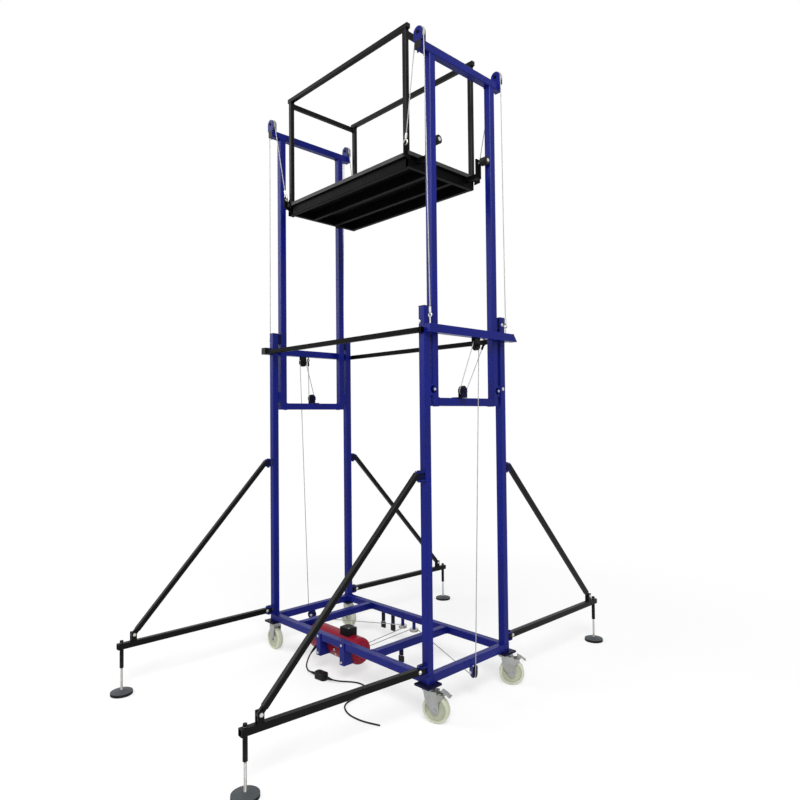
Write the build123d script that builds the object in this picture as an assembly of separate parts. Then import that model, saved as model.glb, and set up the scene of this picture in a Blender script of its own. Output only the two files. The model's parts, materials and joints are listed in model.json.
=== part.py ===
from build123d import *
import math
import os

os.makedirs("parts", exist_ok=True)

# A mobile cargo lift, in millimetres. X runs from the left portal to the right one, -Y is the
# front and Z is up. The origin is on the floor, midway between the four posts. The left portal
# is the right one turned half round about Z.

# Frame tubes
TUBE = 40.0
WALL = 2.5
EDGE = 3.0
CAP = 3.0
POST_X = 652.5
POST_Y = 290.0
POST_TOP = 1945.0
CROSS_LEFT_X = -410.0
CROSS_RIGHT_X = 245.0
TOP_BEAM_Z = 1815.0
TOP_BEAM_PAST = {"right": 52.0, "left": 29.0}
TOP_BEAM_SLANT = {"right": 30.0, "left": 0.0}
TIE = 25.0
TIE_WALL = 1.5
TIE_Z = 1828.0

# Casters
CASTER_HEIGHT = 165.0
MOUNT_PLATE = 10.0
MOUNT_SIDE = 92.0
KINGPIN_R = 8.0
KINGPIN_LENGTH = 22.0
CASTER_HEAD = 35.0
WHEEL_WIDTH = 35.0
WHEEL_ROUND = 5.0
WHEEL_DISH = 5.0
HUB_R = 19.0
RIM_WIDTH = 13.0
TRAIL = 40.0
FORK_PLATE = 4.0
FORK_ROOM = 3.0
FORK_BRIDGE = 10.0
FORK_RING_R = 30.0
FORK_RING = 16.0
FORK_FRONT = 26.0
FORK_FOOT_R = 14.0
SWIVEL_FRONT = 14.0
SWIVEL_BACK = 50.0
SWIVEL_FOOT_R = 20.0
SHIN_FRONT = 3.0
SHIN_RISE = 22.0
HEEL_BACK = 18.0
HEEL_RISE = 38.0
AXLE_R = 5.0
AXLE_HEAD = 4.0
PEDAL_PIN_R = 4.0
PEDAL_SLEEVE_R = 7.0
PEDAL_WIDTH = 30.0
PEDAL_GUARD = 31.0
PEDAL_LOW = 45.0
PEDAL_HIGH = 72.0
PEDAL_TREAD = 7.0
PEDAL_SHEET = 4.0
PEDAL_ROOM = 2.5
CASTER_TURN = {"front_right": 22.0, "back_right": 40.0, "front_left": 0.0, "back_left": 0.0}

# Masts
MAST_Y = 230.0
MAST_GAP = 3.0
MAST_FOOT_Z = 1470.0
MAST_TOP_Z = 3176.0
SHOE_LOW = 50.0
SHOE_HEIGHT = 60.0
SHOE_WIDTH = 34.0
PAD_LOW = 1880.0
SLIDE_GAP = 0.5

# Wire ropes and the wheels that lead them
ROPE_R = 2.5
SHEAVE_R = 22.5
HEAD_SHEAVE_R = 27.0
SHEAVE_WIDTH = 16.0
SHEAVE_LIP = 4.0
GROOVE_ROOM = 0.4
GROOVE_SPREAD = 2.2
ROPE_START = 3.2
WRAP_GAP = 1.5
PIN_R = 5.0
PIN_HEAD = 4.0
PIN_HEAD_SHARE = 1.6
FIT = 0.05
CHEEK = 4.0
CHEEK_ROOM = 2.0
CHEEK_HALF = 28.0
LIFT_X = 687.0
BLOCK_Y = 49.0
FOOT_Y = 13.3
BLOCK_SHEAVE_Z = 1778.0
STRAP_HALF = 18.0
MAST_SHEAVE_Y = {"right": -57.5, "left": -20.0}
MAST_SHEAVE_RISE = 74.0
HEAD_SHEAVE_Y = 298.0
HEAD_SHEAVE_RISE = 81.0
TURN_Y = 300.0
TURN_LEFT_X = -132.0
TURN_RIGHT_X = -33.0
SPACER_R = 10.0
EYE_R = 9.0
EYE_WIRE_R = 3.5
EYE_STEM = 12.0
ANCHOR_STEM = 33.0
FERRULE_R = 6.0
FERRULE_LENGTH = 26.0
ANCHOR_X = 692.5
ANCHOR_Y = 291.0
DEAD_END_X = 676.0
DEAD_END_Y = {"right": 128.0, "left": 15.0}

# Winch
WINCH_Y = -192.0
WINCH_Z = 138.0
MOTOR_R = 72.0
MOTOR_LEFT = -330.0
MOTOR_RIGHT = -76.0
FAN_COVER_R = 60.0
FAN_COVER_LENGTH = 52.0
FAN_COVER_ROUND = 24.0
DRUM_LENGTH = 96.0
DRUM_ROPE_R = 20.0
DRUM_FLANGE_R = 46.0
DRUM_FLANGE = 5.0
DRUM_SHAFT_R = 10.0
SHAFT_SEAT = 12.0
END_ROOM = 1.0
CASE_WALL = 4.0
CASE_MOUTH = 26.0
GEARBOX_LENGTH = 36.0
GEARBOX_ROUND = 22.0
COIL_TURNS = 3
COIL_PITCH = 5.8
COIL_SHIFT = 5.4
DRUM_ROPE_LEFT = -44.0
DRUM_ROPE_RIGHT = -12.0
BRACKET_X = (-172.0, 37.0)
BRACKET_WIDTH = 36.0
BRACKET_PLATE = 6.0
BRACKET_LOW = 92.0
BRACKET_BOLT_IN = 16.0
BOX_X = (-95.0, -20.0)
BOX_Y = (-222.0, -162.0)
BOX_SEAT = 184.0
BOX_TOP = 250.0

# Platform
DECK_X = 535.0
DECK_Y = 265.0
DECK_TOP = 2735.0
DECK = 20.0
FRAME_INSET = 15.0
JOIST = 25.0
JOIST_DEPTH = 52.0
JOIST_WALL = 2.0
JOIST_Y = 85.0
RAIL = 25.0
RAIL_WALL = 1.5
RAIL_X = 516.5
RAIL_Y = 263.5
RAIL_TOP = 3384.0
RAIL_ROOM = 0.5
SIDE_RAIL_DROP = 32.0
RAIL_PAST = 8.0
LUG = 8.0
LUG_X = 528.0
LUG_Y = 280.0
LUG_Z = 2757.0
LUG_HOLE_R = 8.0
LUG_EDGE = 12.0
LINK_LIFT = 3.3
ROLLER_R = 22.0
ROLLER_GAP = 0.3
ROLLER_LENGTH = 40.0
ROLLER_Z = 2770.0
ROLLER_PIN_R = 6.0
GUIDE_ARM = 25.0
GUIDE_PLATE = 8.0
GUIDE_PLATE_X = 600.0
GUIDE_PLATE_HALF = 20.0

# Outriggers
PIVOT_OUT = 25.0
PIVOT_R = 6.0
HINGE_PLATE = 6.0
HINGE_HALF = 20.0
HINGE_ROOM = 0.3
ARM = 30.0
ARM_WALL = 2.0
ARM_RISE = 30.0
ARM_BACK = 12.0
ARM_PAST = 21.0
BRACE = 25.0
BRACE_WALL = 2.0
BRACE_HEAD_Z = 1143.0
BRACE_HEAD = 32.0
BRACE_ROOM = 3.0
BRACE_IN = 60.0
BRACE_FOOT_Z = 292.0
BRACE_EYE = 12.0
BRACE_EYE_R = 14.0
BRACE_BOLT_R = 5.0
JACK_REACH = 872.0
JACK_R = 6.0
JACK_FIT = 0.1
JACK_SHOW = 4.0
SLEEVE_R = 10.0
SLEEVE_LOW = 135.0
JACK_HEAD_R = 9.5
JACK_HEAD = 10.0
PAD_R = 55.0
PAD_RIM = 14.0
PAD_HEIGHT = 22.0
PAD_NECK_R = 15.0
OUTRIGGER_TURN = {"front_right": 4.9, "back_right": 0.4, "front_left": 0.9, "back_left": 1.8}

# Stops that hang under the base
STOP = 25.0
STOP_FOOT = 32.0
STOP_ROD_R = 5.0
STOPS = (
    (-313.0, 302.0, 110.0, 68.0),
    (-223.0, 302.0, 110.0, 68.0),
    (CROSS_RIGHT_X, -73.0, 140.0, 104.0),
    (CROSS_LEFT_X, -110.0, 152.0, 120.0),
)

# Bolts
BOLT_R = 4.0
BOLT_HEAD_R = 7.0
BOLT_HEAD = 5.0

# How far a cut runs past the face that it opens
OVERCUT = 1.0

# Hand control and cords
CORD_R = 4.0
CONTROL_AT = (-86.0, -360.0)
CONTROL_TURN = 6.0
CONTROL_LENGTH = 80.0
CONTROL_WIDTH = 44.0
CONTROL_HEIGHT = 38.0
CONTROL_ROUND = 16.0
CONTROL_EXIT_Z = 16.0
BUTTON_R = 9.0
BUTTON_GAP = 0.3
BUTTON_DEPTH = 8.0
BUTTON_PROUD = 5.0
BUTTON_PITCH = 30.0
GLAND_R = 8.0
GLAND_LENGTH = 18.0
GLAND_X = -290.0
GLAND_ANGLE = 219.0
CORD_LEAD = 30.0
CORD_BEND_SHARE = 0.45
CONTROL_CORD_POINTS = (
    (-296.0, -300.0, 32.0),
    (-276.0, -326.0, 9.0),
    (-236.0, -346.0, 5.0),
    (-204.0, -360.0, 9.0),
)
SUPPLY_CORD_POINTS = (
    (30.0, -322.0, 9.0),
    (62.0, -282.0, 4.6),
    (104.0, -258.0, 4.6),
    (152.0, -256.0, 4.6),
    (200.0, -276.0, 4.6),
    (230.0, -322.0, 4.6),
    (236.0, -380.0, 4.6),
    (240.0, -436.0, 4.6),
    (258.0, -474.0, 4.6),
    (296.0, -502.0, 4.6),
    (346.0, -520.0, 4.6),
    (402.0, -522.0, 4.6),
    (464.0, -513.0, 4.6),
    (531.0, -485.0, 4.6),
)

base_z = CASTER_HEIGHT + MOUNT_PLATE
base_top = base_z + TUBE
wheel_r = (CASTER_HEIGHT - CASTER_HEAD) / 2
arm_z = base_top + ARM_RISE
half = TUBE / 2
mast_x = POST_X - MAST_GAP
rope_z = WINCH_Z - DRUM_ROPE_R
beam_front = -POST_Y - half
beam_back = {side: POST_Y + half + past for side, past in TOP_BEAM_PAST.items()}
jack_top = arm_z + ARM / 2 + JACK_SHOW
brace_reach = JACK_REACH - BRACE_IN
corners = {
    "front_right": (POST_X, -POST_Y),
    "back_right": (POST_X, POST_Y),
    "front_left": (-POST_X, -POST_Y),
    "back_left": (-POST_X, POST_Y),
}
half_turn = Rot(0, 0, 180)
sides = {"right": Rot(0, 0, 0), "left": half_turn}
up = Vector(0, 0, 1)


def save(name, *pieces):
    """Write the solids of one node as one file."""
    solids = [solid for piece in pieces for solid in piece.solids()]
    export_step(Compound(solids), f"parts/{name}.step")
    return solids


def block(x, y, z):
    """A box between the low and high value on each axis."""
    sizes = [high - low for low, high in (x, y, z)]
    middle = [(low + high) / 2 for low, high in (x, y, z)]
    return Pos(*middle) * Box(*sizes)


def rod(start, end, radius):
    """A round bar between two points."""
    run = Vector(*end) - Vector(*start)
    return extrude(Plane(origin=start, z_dir=run) * Circle(radius), amount=run.length)


def square_tube(start, end, width, depth, wall, side):
    """A hollow tube with eased corners; its width lies along side."""
    run = Vector(*end) - Vector(*start)
    outline = Rectangle(width, depth)
    outline = chamfer(outline.vertices(), EDGE * width / TUBE)
    outline -= Rectangle(width - 2 * wall, depth - 2 * wall)
    return extrude(Plane(origin=start, x_dir=side, z_dir=run) * outline, amount=run.length)


def frame_tube(start, end, side):
    """A main frame tube."""
    return square_tube(start, end, TUBE, TUBE, WALL, side)


def turned(points):
    """A solid of revolution from (radius, height) points."""
    return revolve(make_face(Polyline(*[(r, 0, z) for r, z in points], close=True)), Axis.Z)


def placed(shape, centre, axis):
    """Put a shape that was made about Z at a centre, with its axis along another line."""
    return Plane(origin=centre, z_dir=axis).location * shape


def plate(outline, normal_from, thickness):
    """A flat plate: an outline on a plane, thickened along the plane's normal."""
    return extrude(normal_from * outline, amount=thickness)


def grooved_wheel(radius):
    """A sheave about Z whose rope runs at the given radius."""
    lip = radius + SHEAVE_LIP
    floor = radius - ROPE_R - GROOVE_ROOM
    bed = ROPE_R + GROOVE_ROOM
    mouth = bed + GROOVE_SPREAD
    bore = PIN_R + FIT
    side = SHEAVE_WIDTH / 2
    return turned(
        [
            (bore, -side),
            (lip, -side),
            (lip, -mouth),
            (floor, -bed),
            (floor, bed),
            (lip, mouth),
            (lip, side),
            (bore, side),
        ]
    )


def sheave_pin(centre, axis, reach):
    """The pin that a sheave turns on, with a head outside each cheek."""
    axis = Vector(*axis).normalized()
    centre = Vector(*centre)
    pin = rod(centre - axis * reach, centre + axis * reach, PIN_R)
    for way in (-1, 1):
        start = centre + axis * (way * reach)
        pin += rod(start, start + axis * (way * PIN_HEAD), PIN_R * PIN_HEAD_SHARE)
    return pin


cheek_inside = SHEAVE_WIDTH / 2 + CHEEK_ROOM
cheek_outside = cheek_inside + CHEEK


def tangent_line(point, centre, radius, axis, side):
    """The direction and length of a line from a point to a circle about an axis that it touches."""
    away = centre - point
    away = away - axis.direction * away.dot(axis.direction)
    swing = math.degrees(math.asin(radius / away.length))
    return away.rotate(axis, side * swing).normalized(), math.sqrt(away.length**2 - radius**2)


def meeting_point(start, along, end, back):
    """Where two level lines cross."""
    gap = end - start
    share = (gap.X * back.Y - gap.Y * back.X) / (along.X * back.Y - along.Y * back.X)
    return start + along * share


def rope_sweep(points, radii):
    """A rope along straight runs with an arc at each inner point."""
    path = FilletPolyline(*points, radius=radii)
    return sweep(Plane(origin=path @ 0, z_dir=path % 0) * Circle(ROPE_R), path=path)


def bolt(head, along, length):
    """A hexagon bolt whose head sits on a face, with its shank along a line."""
    along = Vector(*along).normalized()
    head = Vector(*head)
    seat = Plane(origin=head, z_dir=along * -1)
    cap = extrude(seat * RegularPolygon(BOLT_HEAD_R, 6), amount=BOLT_HEAD)
    return cap + rod(head, head + along * length, BOLT_R)


def bracket_hole(x, z):
    """The hole for a winch bracket's bolt, through the bracket and the front tube's wall."""
    face = -POST_Y - half
    return rod((x, face - TUBE, z), (x, -POST_Y, z), BOLT_R + FIT)


# Base frame
def base_frame():
    """Two long tubes, two end tubes, two cross tubes and the caster plates."""
    long_end = POST_X + half - CAP
    across = POST_Y - half
    level = base_z + half
    pieces = []
    for y in (-POST_Y, POST_Y):
        tube = frame_tube((-long_end, y, level), (long_end, y, level), (0, 1, 0))
        if y < 0:
            for x in BRACKET_X:
                tube -= bracket_hole(x, base_top - BRACKET_BOLT_IN)
        pieces.append(tube)
    for x in (-POST_X, CROSS_LEFT_X, CROSS_RIGHT_X, POST_X):
        pieces.append(frame_tube((x, -across, level), (x, across, level), (1, 0, 0)))
    for x, y in corners.values():
        reach = MOUNT_SIDE / 2
        seat = block((x - reach, x + reach), (y - reach, y + reach), (CASTER_HEIGHT, base_z))
        pieces.append(seat + rod((x, y, CASTER_HEIGHT), (x, y, CASTER_HEIGHT - KINGPIN_LENGTH), KINGPIN_R))
    return pieces


save("base_frame", *base_frame())


# Lower portals
def beam_side():
    """The plane of the right top beam's inner face, with its first axis along +Y."""
    return Plane((POST_X + half, 0, 0), x_dir=(0, 1, 0), z_dir=(1, 0, 0))


def top_beam(side):
    """A side's beam on the outer side of its posts, before the left's half turn.

    The right one is slant-cut at its back end. The left one is square at both ends.
    """
    inner = POST_X + half
    top = TOP_BEAM_Z + TUBE
    back = beam_back[side]
    outline = Polyline(
        (beam_front, TOP_BEAM_Z),
        (back, TOP_BEAM_Z),
        (back - TOP_BEAM_SLANT[side], top),
        (beam_front, top),
        close=True,
    )
    beam = plate(make_face(outline), beam_side(), TUBE)
    return beam - block(
        (inner + WALL, inner + TUBE - WALL),
        (beam_front, back),
        (TOP_BEAM_Z + WALL, top - WALL),
    )


def tie_bolt_hole(x, y):
    """The hole for a tie bar's bolt, from outside the bar to the middle of a post."""
    return rod((x, math.copysign(POST_Y + half + 2 * TIE, y), TIE_Z), (x, y, TIE_Z), BOLT_R + FIT)


def portal(side):
    """Two posts and their top beam, before the left's half turn."""
    pieces = [top_beam(side)]
    for y in (-POST_Y, POST_Y):
        post = frame_tube((POST_X, y, base_top), (POST_X, y, POST_TOP - CAP), (1, 0, 0))
        pieces.append(post - tie_bolt_hole(POST_X, y))
    return pieces


save("right_lower_frame", *portal("right"))
save("left_lower_frame", *[half_turn * piece for piece in portal("left")])

tie_half = POST_X + half
tie_bars = []
for way in (-1, 1):
    y = way * (POST_Y + half + TIE / 2)
    bar = square_tube((-tie_half, y, TIE_Z), (tie_half, y, TIE_Z), TIE, TIE, TIE_WALL, (0, 1, 0))
    for x in (-POST_X, POST_X):
        bar -= tie_bolt_hole(x, way * POST_Y)
    tie_bars.append(bar)
save("tie_bars", *tie_bars)


# Nylon slide pads and tube caps
def beam_caps(side):
    """The caps on the two ends of a side's top beam, before the left's half turn."""
    inner = POST_X + half
    top = TOP_BEAM_Z + TUBE
    square = block((inner, inner + TUBE), (beam_front - CAP, beam_front), (TOP_BEAM_Z, top))
    slant = TOP_BEAM_SLANT[side]
    low = Vector(beam_back[side], TOP_BEAM_Z)
    high = Vector(beam_back[side] - slant, top)
    out = Vector(TUBE, slant).normalized() * CAP
    outline = make_face(Polyline(low, high, high + out, low + out, close=True))
    return [square, plate(outline, beam_side(), TUBE)]


def nylon_pieces():
    """Slide pads at the post heads, caps on posts, base tubes and top beams."""
    pieces = []
    for x, y in corners.values():
        way = 1 if y > 0 else -1
        side = 1 if x > 0 else -1
        centre = side * mast_x
        reach = SHOE_WIDTH / 2
        near = way * (MAST_Y + half + SLIDE_GAP)
        far = way * (POST_Y - half)
        span = (min(near, far), max(near, far))
        pieces.append(block((centre - reach, centre + reach), span, (PAD_LOW, PAD_LOW + SHOE_HEIGHT)))
        pieces.append(block((x - half, x + half), (y - half, y + half), (POST_TOP - CAP, POST_TOP)))
        end = side * (POST_X + half - CAP)
        stop = side * (POST_X + half)
        ends = (min(end, stop), max(end, stop))
        pieces.append(block(ends, (y - half, y + half), (base_z, base_top)))
    pieces += beam_caps("right")
    pieces += [half_turn * cap for cap in beam_caps("left")]
    return pieces


save("nylon_pads_and_caps", *nylon_pieces())


# Masts
def head_bracket():
    """At the +Y end of the right mast's top beam: a cheek on the beam, a cheek saddled over it, an end cap."""
    beam_top = MAST_TOP_Z + TUBE
    centre_z = MAST_TOP_Z + HEAD_SHEAVE_RISE
    pieces = []
    for offset, low in ((-cheek_outside, MAST_TOP_Z), (cheek_inside, beam_top)):
        outline = Pos(0, (low - centre_z) / 2) * Rectangle(2 * CHEEK_HALF, centre_z - low)
        outline += Circle(CHEEK_HALF)
        outline -= Circle(PIN_R + FIT)
        outline -= Pos(0, beam_top - half - centre_z) * Rectangle(TUBE, TUBE)
        seat = Plane((mast_x, HEAD_SHEAVE_Y + offset, centre_z), x_dir=(-1, 0, 0), z_dir=(0, 1, 0))
        pieces.append(plate(outline, seat, CHEEK))
    tip = HEAD_SHEAVE_Y + cheek_outside
    pieces.append(block((mast_x - half, mast_x + half), (tip - CAP, tip), (MAST_TOP_Z, beam_top)))
    return pieces


mast_sheave_z = MAST_FOOT_Z + MAST_SHEAVE_RISE


def strap(rise):
    """The outline of a sheave's cheek: a strap from its seat to the pin, with a round end there."""
    outline = Pos(0, rise / 2) * Rectangle(2 * STRAP_HALF, abs(rise)) + Circle(STRAP_HALF)
    return outline - Circle(PIN_R + FIT)


def cheeks_about(centre, run, axis, rise):
    """Two straps either side of a sheave; rise is how far up or down their seat is."""
    return [
        plate(strap(rise), Plane(centre + axis * offset, x_dir=run, z_dir=axis), CHEEK)
        for offset in (-cheek_outside, cheek_inside)
    ]


def mast_sheave_bracket(y):
    """Two cheeks on a foot that stands on the right mast's bottom beam and reaches out past it."""
    centre = Vector(LIFT_X, y, mast_sheave_z)
    foot_low = MAST_FOOT_Z + TUBE
    foot = block(
        (mast_x - half, LIFT_X + cheek_outside),
        (y - STRAP_HALF, y + STRAP_HALF),
        (foot_low, foot_low + CHEEK),
    )
    drop = foot_low + CHEEK - mast_sheave_z
    return [foot] + cheeks_about(centre, Vector(0, 1, 0), Vector(1, 0, 0), drop)


def mast(side):
    """Posts, bottom and top beam, sheave brackets with pins, slide shoes; before the left side's half turn."""
    pieces = []
    inside = MAST_Y - half
    for y in (-MAST_Y, MAST_Y):
        pieces.append(frame_tube((mast_x, y, MAST_FOOT_Z), (mast_x, y, MAST_TOP_Z), (1, 0, 0)))
    low = MAST_FOOT_Z + half
    high = MAST_TOP_Z + half
    beam_half = HEAD_SHEAVE_Y + cheek_outside - CAP
    pieces.append(frame_tube((mast_x, -inside, low), (mast_x, inside, low), (1, 0, 0)))
    pieces.append(frame_tube((mast_x, -beam_half, high), (mast_x, beam_half, high), (1, 0, 0)))
    head_z = MAST_TOP_Z + HEAD_SHEAVE_RISE
    for way in (-1, 1):
        for piece in head_bracket():
            pieces.append(piece if way > 0 else mirror(piece, Plane.XZ))
        pieces.append(sheave_pin((mast_x, way * HEAD_SHEAVE_Y, head_z), (0, 1, 0), cheek_outside))
        near = way * (MAST_Y + half)
        far = way * (POST_Y - half - SLIDE_GAP)
        span = (min(near, far), max(near, far))
        shoe_z = MAST_FOOT_Z + SHOE_LOW
        reach = SHOE_WIDTH / 2
        pieces.append(block((mast_x - reach, mast_x + reach), span, (shoe_z, shoe_z + SHOE_HEIGHT)))
    pieces += mast_sheave_bracket(MAST_SHEAVE_Y[side])
    pieces.append(sheave_pin((LIFT_X, MAST_SHEAVE_Y[side], mast_sheave_z), (1, 0, 0), cheek_outside))
    return pieces


head_z = MAST_TOP_Z + HEAD_SHEAVE_RISE
head_sheaves = [
    placed(grooved_wheel(HEAD_SHEAVE_R), (mast_x, way * HEAD_SHEAVE_Y, head_z), (0, 1, 0)) for way in (-1, 1)
]
for side, turn in sides.items():
    mast_sheave = placed(grooved_wheel(SHEAVE_R), (LIFT_X, MAST_SHEAVE_Y[side], mast_sheave_z), (1, 0, 0))
    save(f"{side}_mast", *[turn * piece for piece in mast(side)])
    save(f"{side}_head_sheaves", *[turn * piece for piece in head_sheaves])
    save(f"{side}_mast_sheave", turn * mast_sheave)

# Lift ropes, worked out for each side from the drum to the top of the portal
block_centre = Vector(LIFT_X, BLOCK_Y, BLOCK_SHEAVE_Z)


def lift_rope(drum_x, turn_x, way):
    """The fixed run of one lift rope, and where its turning and base sheaves sit."""
    drum = Vector(drum_x, WINCH_Y, rope_z)
    turn = Vector(turn_x, TURN_Y, rope_z)
    foot = Vector(way * LIFT_X, way * FOOT_Y, rope_z)
    along, _ = tangent_line(drum, turn, SHEAVE_R, Axis.Z, way)
    back, _ = tangent_line(foot, turn, SHEAVE_R, Axis.Z, -way)
    corner = meeting_point(drum, along, foot, back)
    onward = (foot - corner).normalized()
    over = Vector(way * block_centre.X, way * block_centre.Y, block_centre.Z)
    rise, length = tangent_line(foot, over, SHEAVE_R, Axis.X, -way)
    leaves = drum + along * (ROPE_START * ROPE_R)
    rope = rope_sweep([leaves, corner, foot, foot + rise * length], [SHEAVE_R, SHEAVE_R])
    inward = rise - onward
    spread = math.radians(rise.get_angle(onward * -1))
    base_centre = foot + inward.normalized() * (SHEAVE_R / math.sin(spread / 2))
    base_axis = onward.cross(rise).normalized()
    return rope, turn, base_centre, base_axis


ropes = {
    "right": lift_rope(DRUM_ROPE_RIGHT, TURN_RIGHT_X, 1),
    "left": lift_rope(DRUM_ROPE_LEFT, TURN_LEFT_X, -1),
}


def wrap_over(centre, radius, start, end, plane_x, axis):
    """Rope lying in a groove between two angles, as part of a ring."""
    ring = Plane(origin=centre, x_dir=plane_x, z_dir=axis)
    path = ring * CenterArc((0, 0, 0), radius, start, end - start)
    return sweep(Plane(origin=path @ 0, z_dir=path % 0) * Circle(ROPE_R), path=path)


def falls(side):
    """The falls between the block under the top beam and the mast's sheave, before the left's half turn."""
    centre = Vector(LIFT_X, MAST_SHEAVE_Y[side], mast_sheave_z)
    run = centre - block_centre
    square_off = Vector(0, run.Z, -run.Y).normalized() * SHEAVE_R
    eye = Vector(DEAD_END_X, DEAD_END_Y[side], TOP_BEAM_Z - EYE_STEM - EYE_R)
    back, length = tangent_line(eye, centre, SHEAVE_R, Axis.X, 1)
    touch = eye + back * length
    low = Vector(LIFT_X, touch.Y, touch.Z)
    along = (low - eye).normalized()
    seat = eye + along * (EYE_R + EYE_WIRE_R)
    fall_angle = math.degrees(math.atan2(square_off.Z, square_off.Y))
    dead_angle = 360 + math.degrees(math.atan2(touch.Z - centre.Z, touch.Y - centre.Y))
    rise_angle = -math.degrees(math.atan2(BLOCK_Y + SHEAVE_R - FOOT_Y, BLOCK_SHEAVE_Z - rope_z))
    wrap_start = fall_angle + WRAP_GAP
    wrap_end = dead_angle - WRAP_GAP
    ropes = [
        rod(block_centre + square_off, centre + square_off, ROPE_R),
        wrap_over(centre, SHEAVE_R, wrap_start, wrap_end, (0, 1, 0), (1, 0, 0)),
        rod(seat + along * FERRULE_LENGTH, low, ROPE_R),
    ]
    over_block = wrap_over(block_centre, SHEAVE_R, rise_angle, fall_angle, (0, 1, 0), (1, 0, 0))
    return ropes, over_block, rod(seat, seat + along * FERRULE_LENGTH, FERRULE_R)


block_wraps = []
lift_falls = []
dead_ferrules = {}
for side, turn in sides.items():
    fall_ropes, over_block, dead_ferrules[side] = falls(side)
    block_wraps.append(turn * over_block)
    lift_falls += [turn * piece for piece in fall_ropes]
save("lift_ropes", ropes["right"][0], ropes["left"][0], *block_wraps)
save("lift_rope_falls", *lift_falls)

# The ropes that hang the platform: up outside the mast, over its head and down to the deck
anchor_top = TOP_BEAM_Z + TUBE
anchor_eye_z = anchor_top + ANCHOR_STEM + EYE_R
anchor_seat_z = anchor_eye_z + EYE_R + EYE_WIRE_R
link_z = LUG_Z + LINK_LIFT + EYE_R + EYE_WIRE_R
platform_falls = []
platform_drops = []
platform_ferrules = []
anchor_ferrules = []
for way in (-1, 1):
    head = Vector(mast_x, way * HEAD_SHEAVE_Y, head_z)
    seat = Vector(ANCHOR_X, way * ANCHOR_Y, anchor_seat_z)
    high = head + Vector(HEAD_SHEAVE_R, 0, 0)
    along = (high - seat).normalized()
    anchor_ferrules.append(rod(seat, seat + along * FERRULE_LENGTH, FERRULE_R))
    platform_falls.append(rod(seat + along * FERRULE_LENGTH, high, ROPE_R))
    link = Vector(LUG_X, way * LUG_Y, link_z)
    rise, length = tangent_line(link, head, HEAD_SHEAVE_R, Axis.Y, -1)
    touch = link + rise * length
    inner = Vector(touch.X, head.Y, touch.Z)
    along = (inner - link).normalized()
    seat = link + along * (EYE_R + 2 * EYE_WIRE_R)
    drop_angle = math.degrees(math.atan2(inner.Z - head_z, inner.X - mast_x))
    platform_ferrules.append(rod(seat, seat + along * FERRULE_LENGTH, FERRULE_R))
    platform_drops.append(rod(seat + along * FERRULE_LENGTH, inner, ROPE_R))
    wrap_end = drop_angle - WRAP_GAP
    platform_drops.append(wrap_over(head, HEAD_SHEAVE_R, WRAP_GAP, wrap_end, (1, 0, 0), (0, -1, 0)))
save("platform_rope_falls", *platform_falls, *[half_turn * piece for piece in platform_falls])
save("platform_rope_drops", *platform_drops, *[half_turn * piece for piece in platform_drops])

# Sheaves that turn in the lower frame
turn_sheave = grooved_wheel(SHEAVE_R)
for side in ("right", "left"):
    _, turn, base_centre, base_axis = ropes[side]
    save(f"{side}_turning_sheave", placed(turn_sheave, turn, (0, 0, 1)))
    save(f"{side}_base_sheave", placed(turn_sheave, base_centre, base_axis))
block_sheave = placed(grooved_wheel(SHEAVE_R), block_centre, (1, 0, 0))
save("right_block_sheave", block_sheave)
save("left_block_sheave", half_turn * block_sheave)


def base_cheeks(side):
    """The two cheeks of a base sheave, square to its pin and cut level under the base end tube."""
    _, _, centre, axis = ropes[side]
    run = up.cross(axis).normalized()
    past = block(
        (centre.X - TUBE, centre.X + TUBE),
        (centre.Y - TUBE, centre.Y + TUBE),
        (base_z, base_z + TUBE),
    )
    return [cheek - past for cheek in cheeks_about(centre, run, axis, base_z - centre.Z + CAP)]


def turning_mount(side):
    """A spacer under the back tube that sets the height of a turning sheave."""
    centre = ropes[side][1]
    top = Vector(centre.X, centre.Y, base_z)
    foot = centre + up * (SHEAVE_WIDTH / 2 + FIT)
    return rod(top, foot, SPACER_R) - rod(top, foot, PIN_R + FIT)


right_cheeks = cheeks_about(block_centre, Vector(0, 1, 0), Vector(1, 0, 0), TOP_BEAM_Z - BLOCK_SHEAVE_Z)
save(
    "sheave_brackets",
    *right_cheeks,
    *[half_turn * piece for piece in right_cheeks],
    *base_cheeks("right"),
    *base_cheeks("left"),
    turning_mount("right"),
    turning_mount("left"),
)


# Outrigger hinges on the posts
def hinge_pair(level, opening):
    """Two plates and a pin about the origin, for the +Y side of a post."""
    outline = Pos(0, -PIVOT_OUT / 2) * Rectangle(2 * HINGE_HALF, PIVOT_OUT) + Circle(HINGE_HALF)
    outline -= Pos(0, -PIVOT_OUT - HINGE_HALF) * Rectangle(4 * HINGE_HALF, 2 * HINGE_HALF)
    outline -= Circle(PIVOT_R + FIT)
    clear = opening / 2 + HINGE_ROOM
    pieces = [plate(outline, Plane.XY.offset(level + clear), HINGE_PLATE)]
    pieces.append(plate(outline, Plane.XY.offset(level - clear - HINGE_PLATE), HINGE_PLATE))
    reach = clear + HINGE_PLATE
    pin = rod((0, 0, level - reach), (0, 0, level + reach), PIVOT_R)
    pin += rod((0, 0, level + reach), (0, 0, level + reach + PIN_HEAD), PIVOT_R * PIN_HEAD_SHARE)
    pieces.append(pin)
    return pieces


pivot_y = POST_Y + half + PIVOT_OUT
hinges = hinge_pair(arm_z, ARM) + hinge_pair(BRACE_HEAD_Z, BRACE_HEAD)
hinge_pieces = []
for x, y in corners.values():
    spin = Rot(0, 0, 0) if y > 0 else half_turn
    place = Pos(x, math.copysign(pivot_y, y), 0)
    hinge_pieces += [place * spin * piece for piece in hinges]
save("outrigger_hinges", *hinge_pieces)


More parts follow.
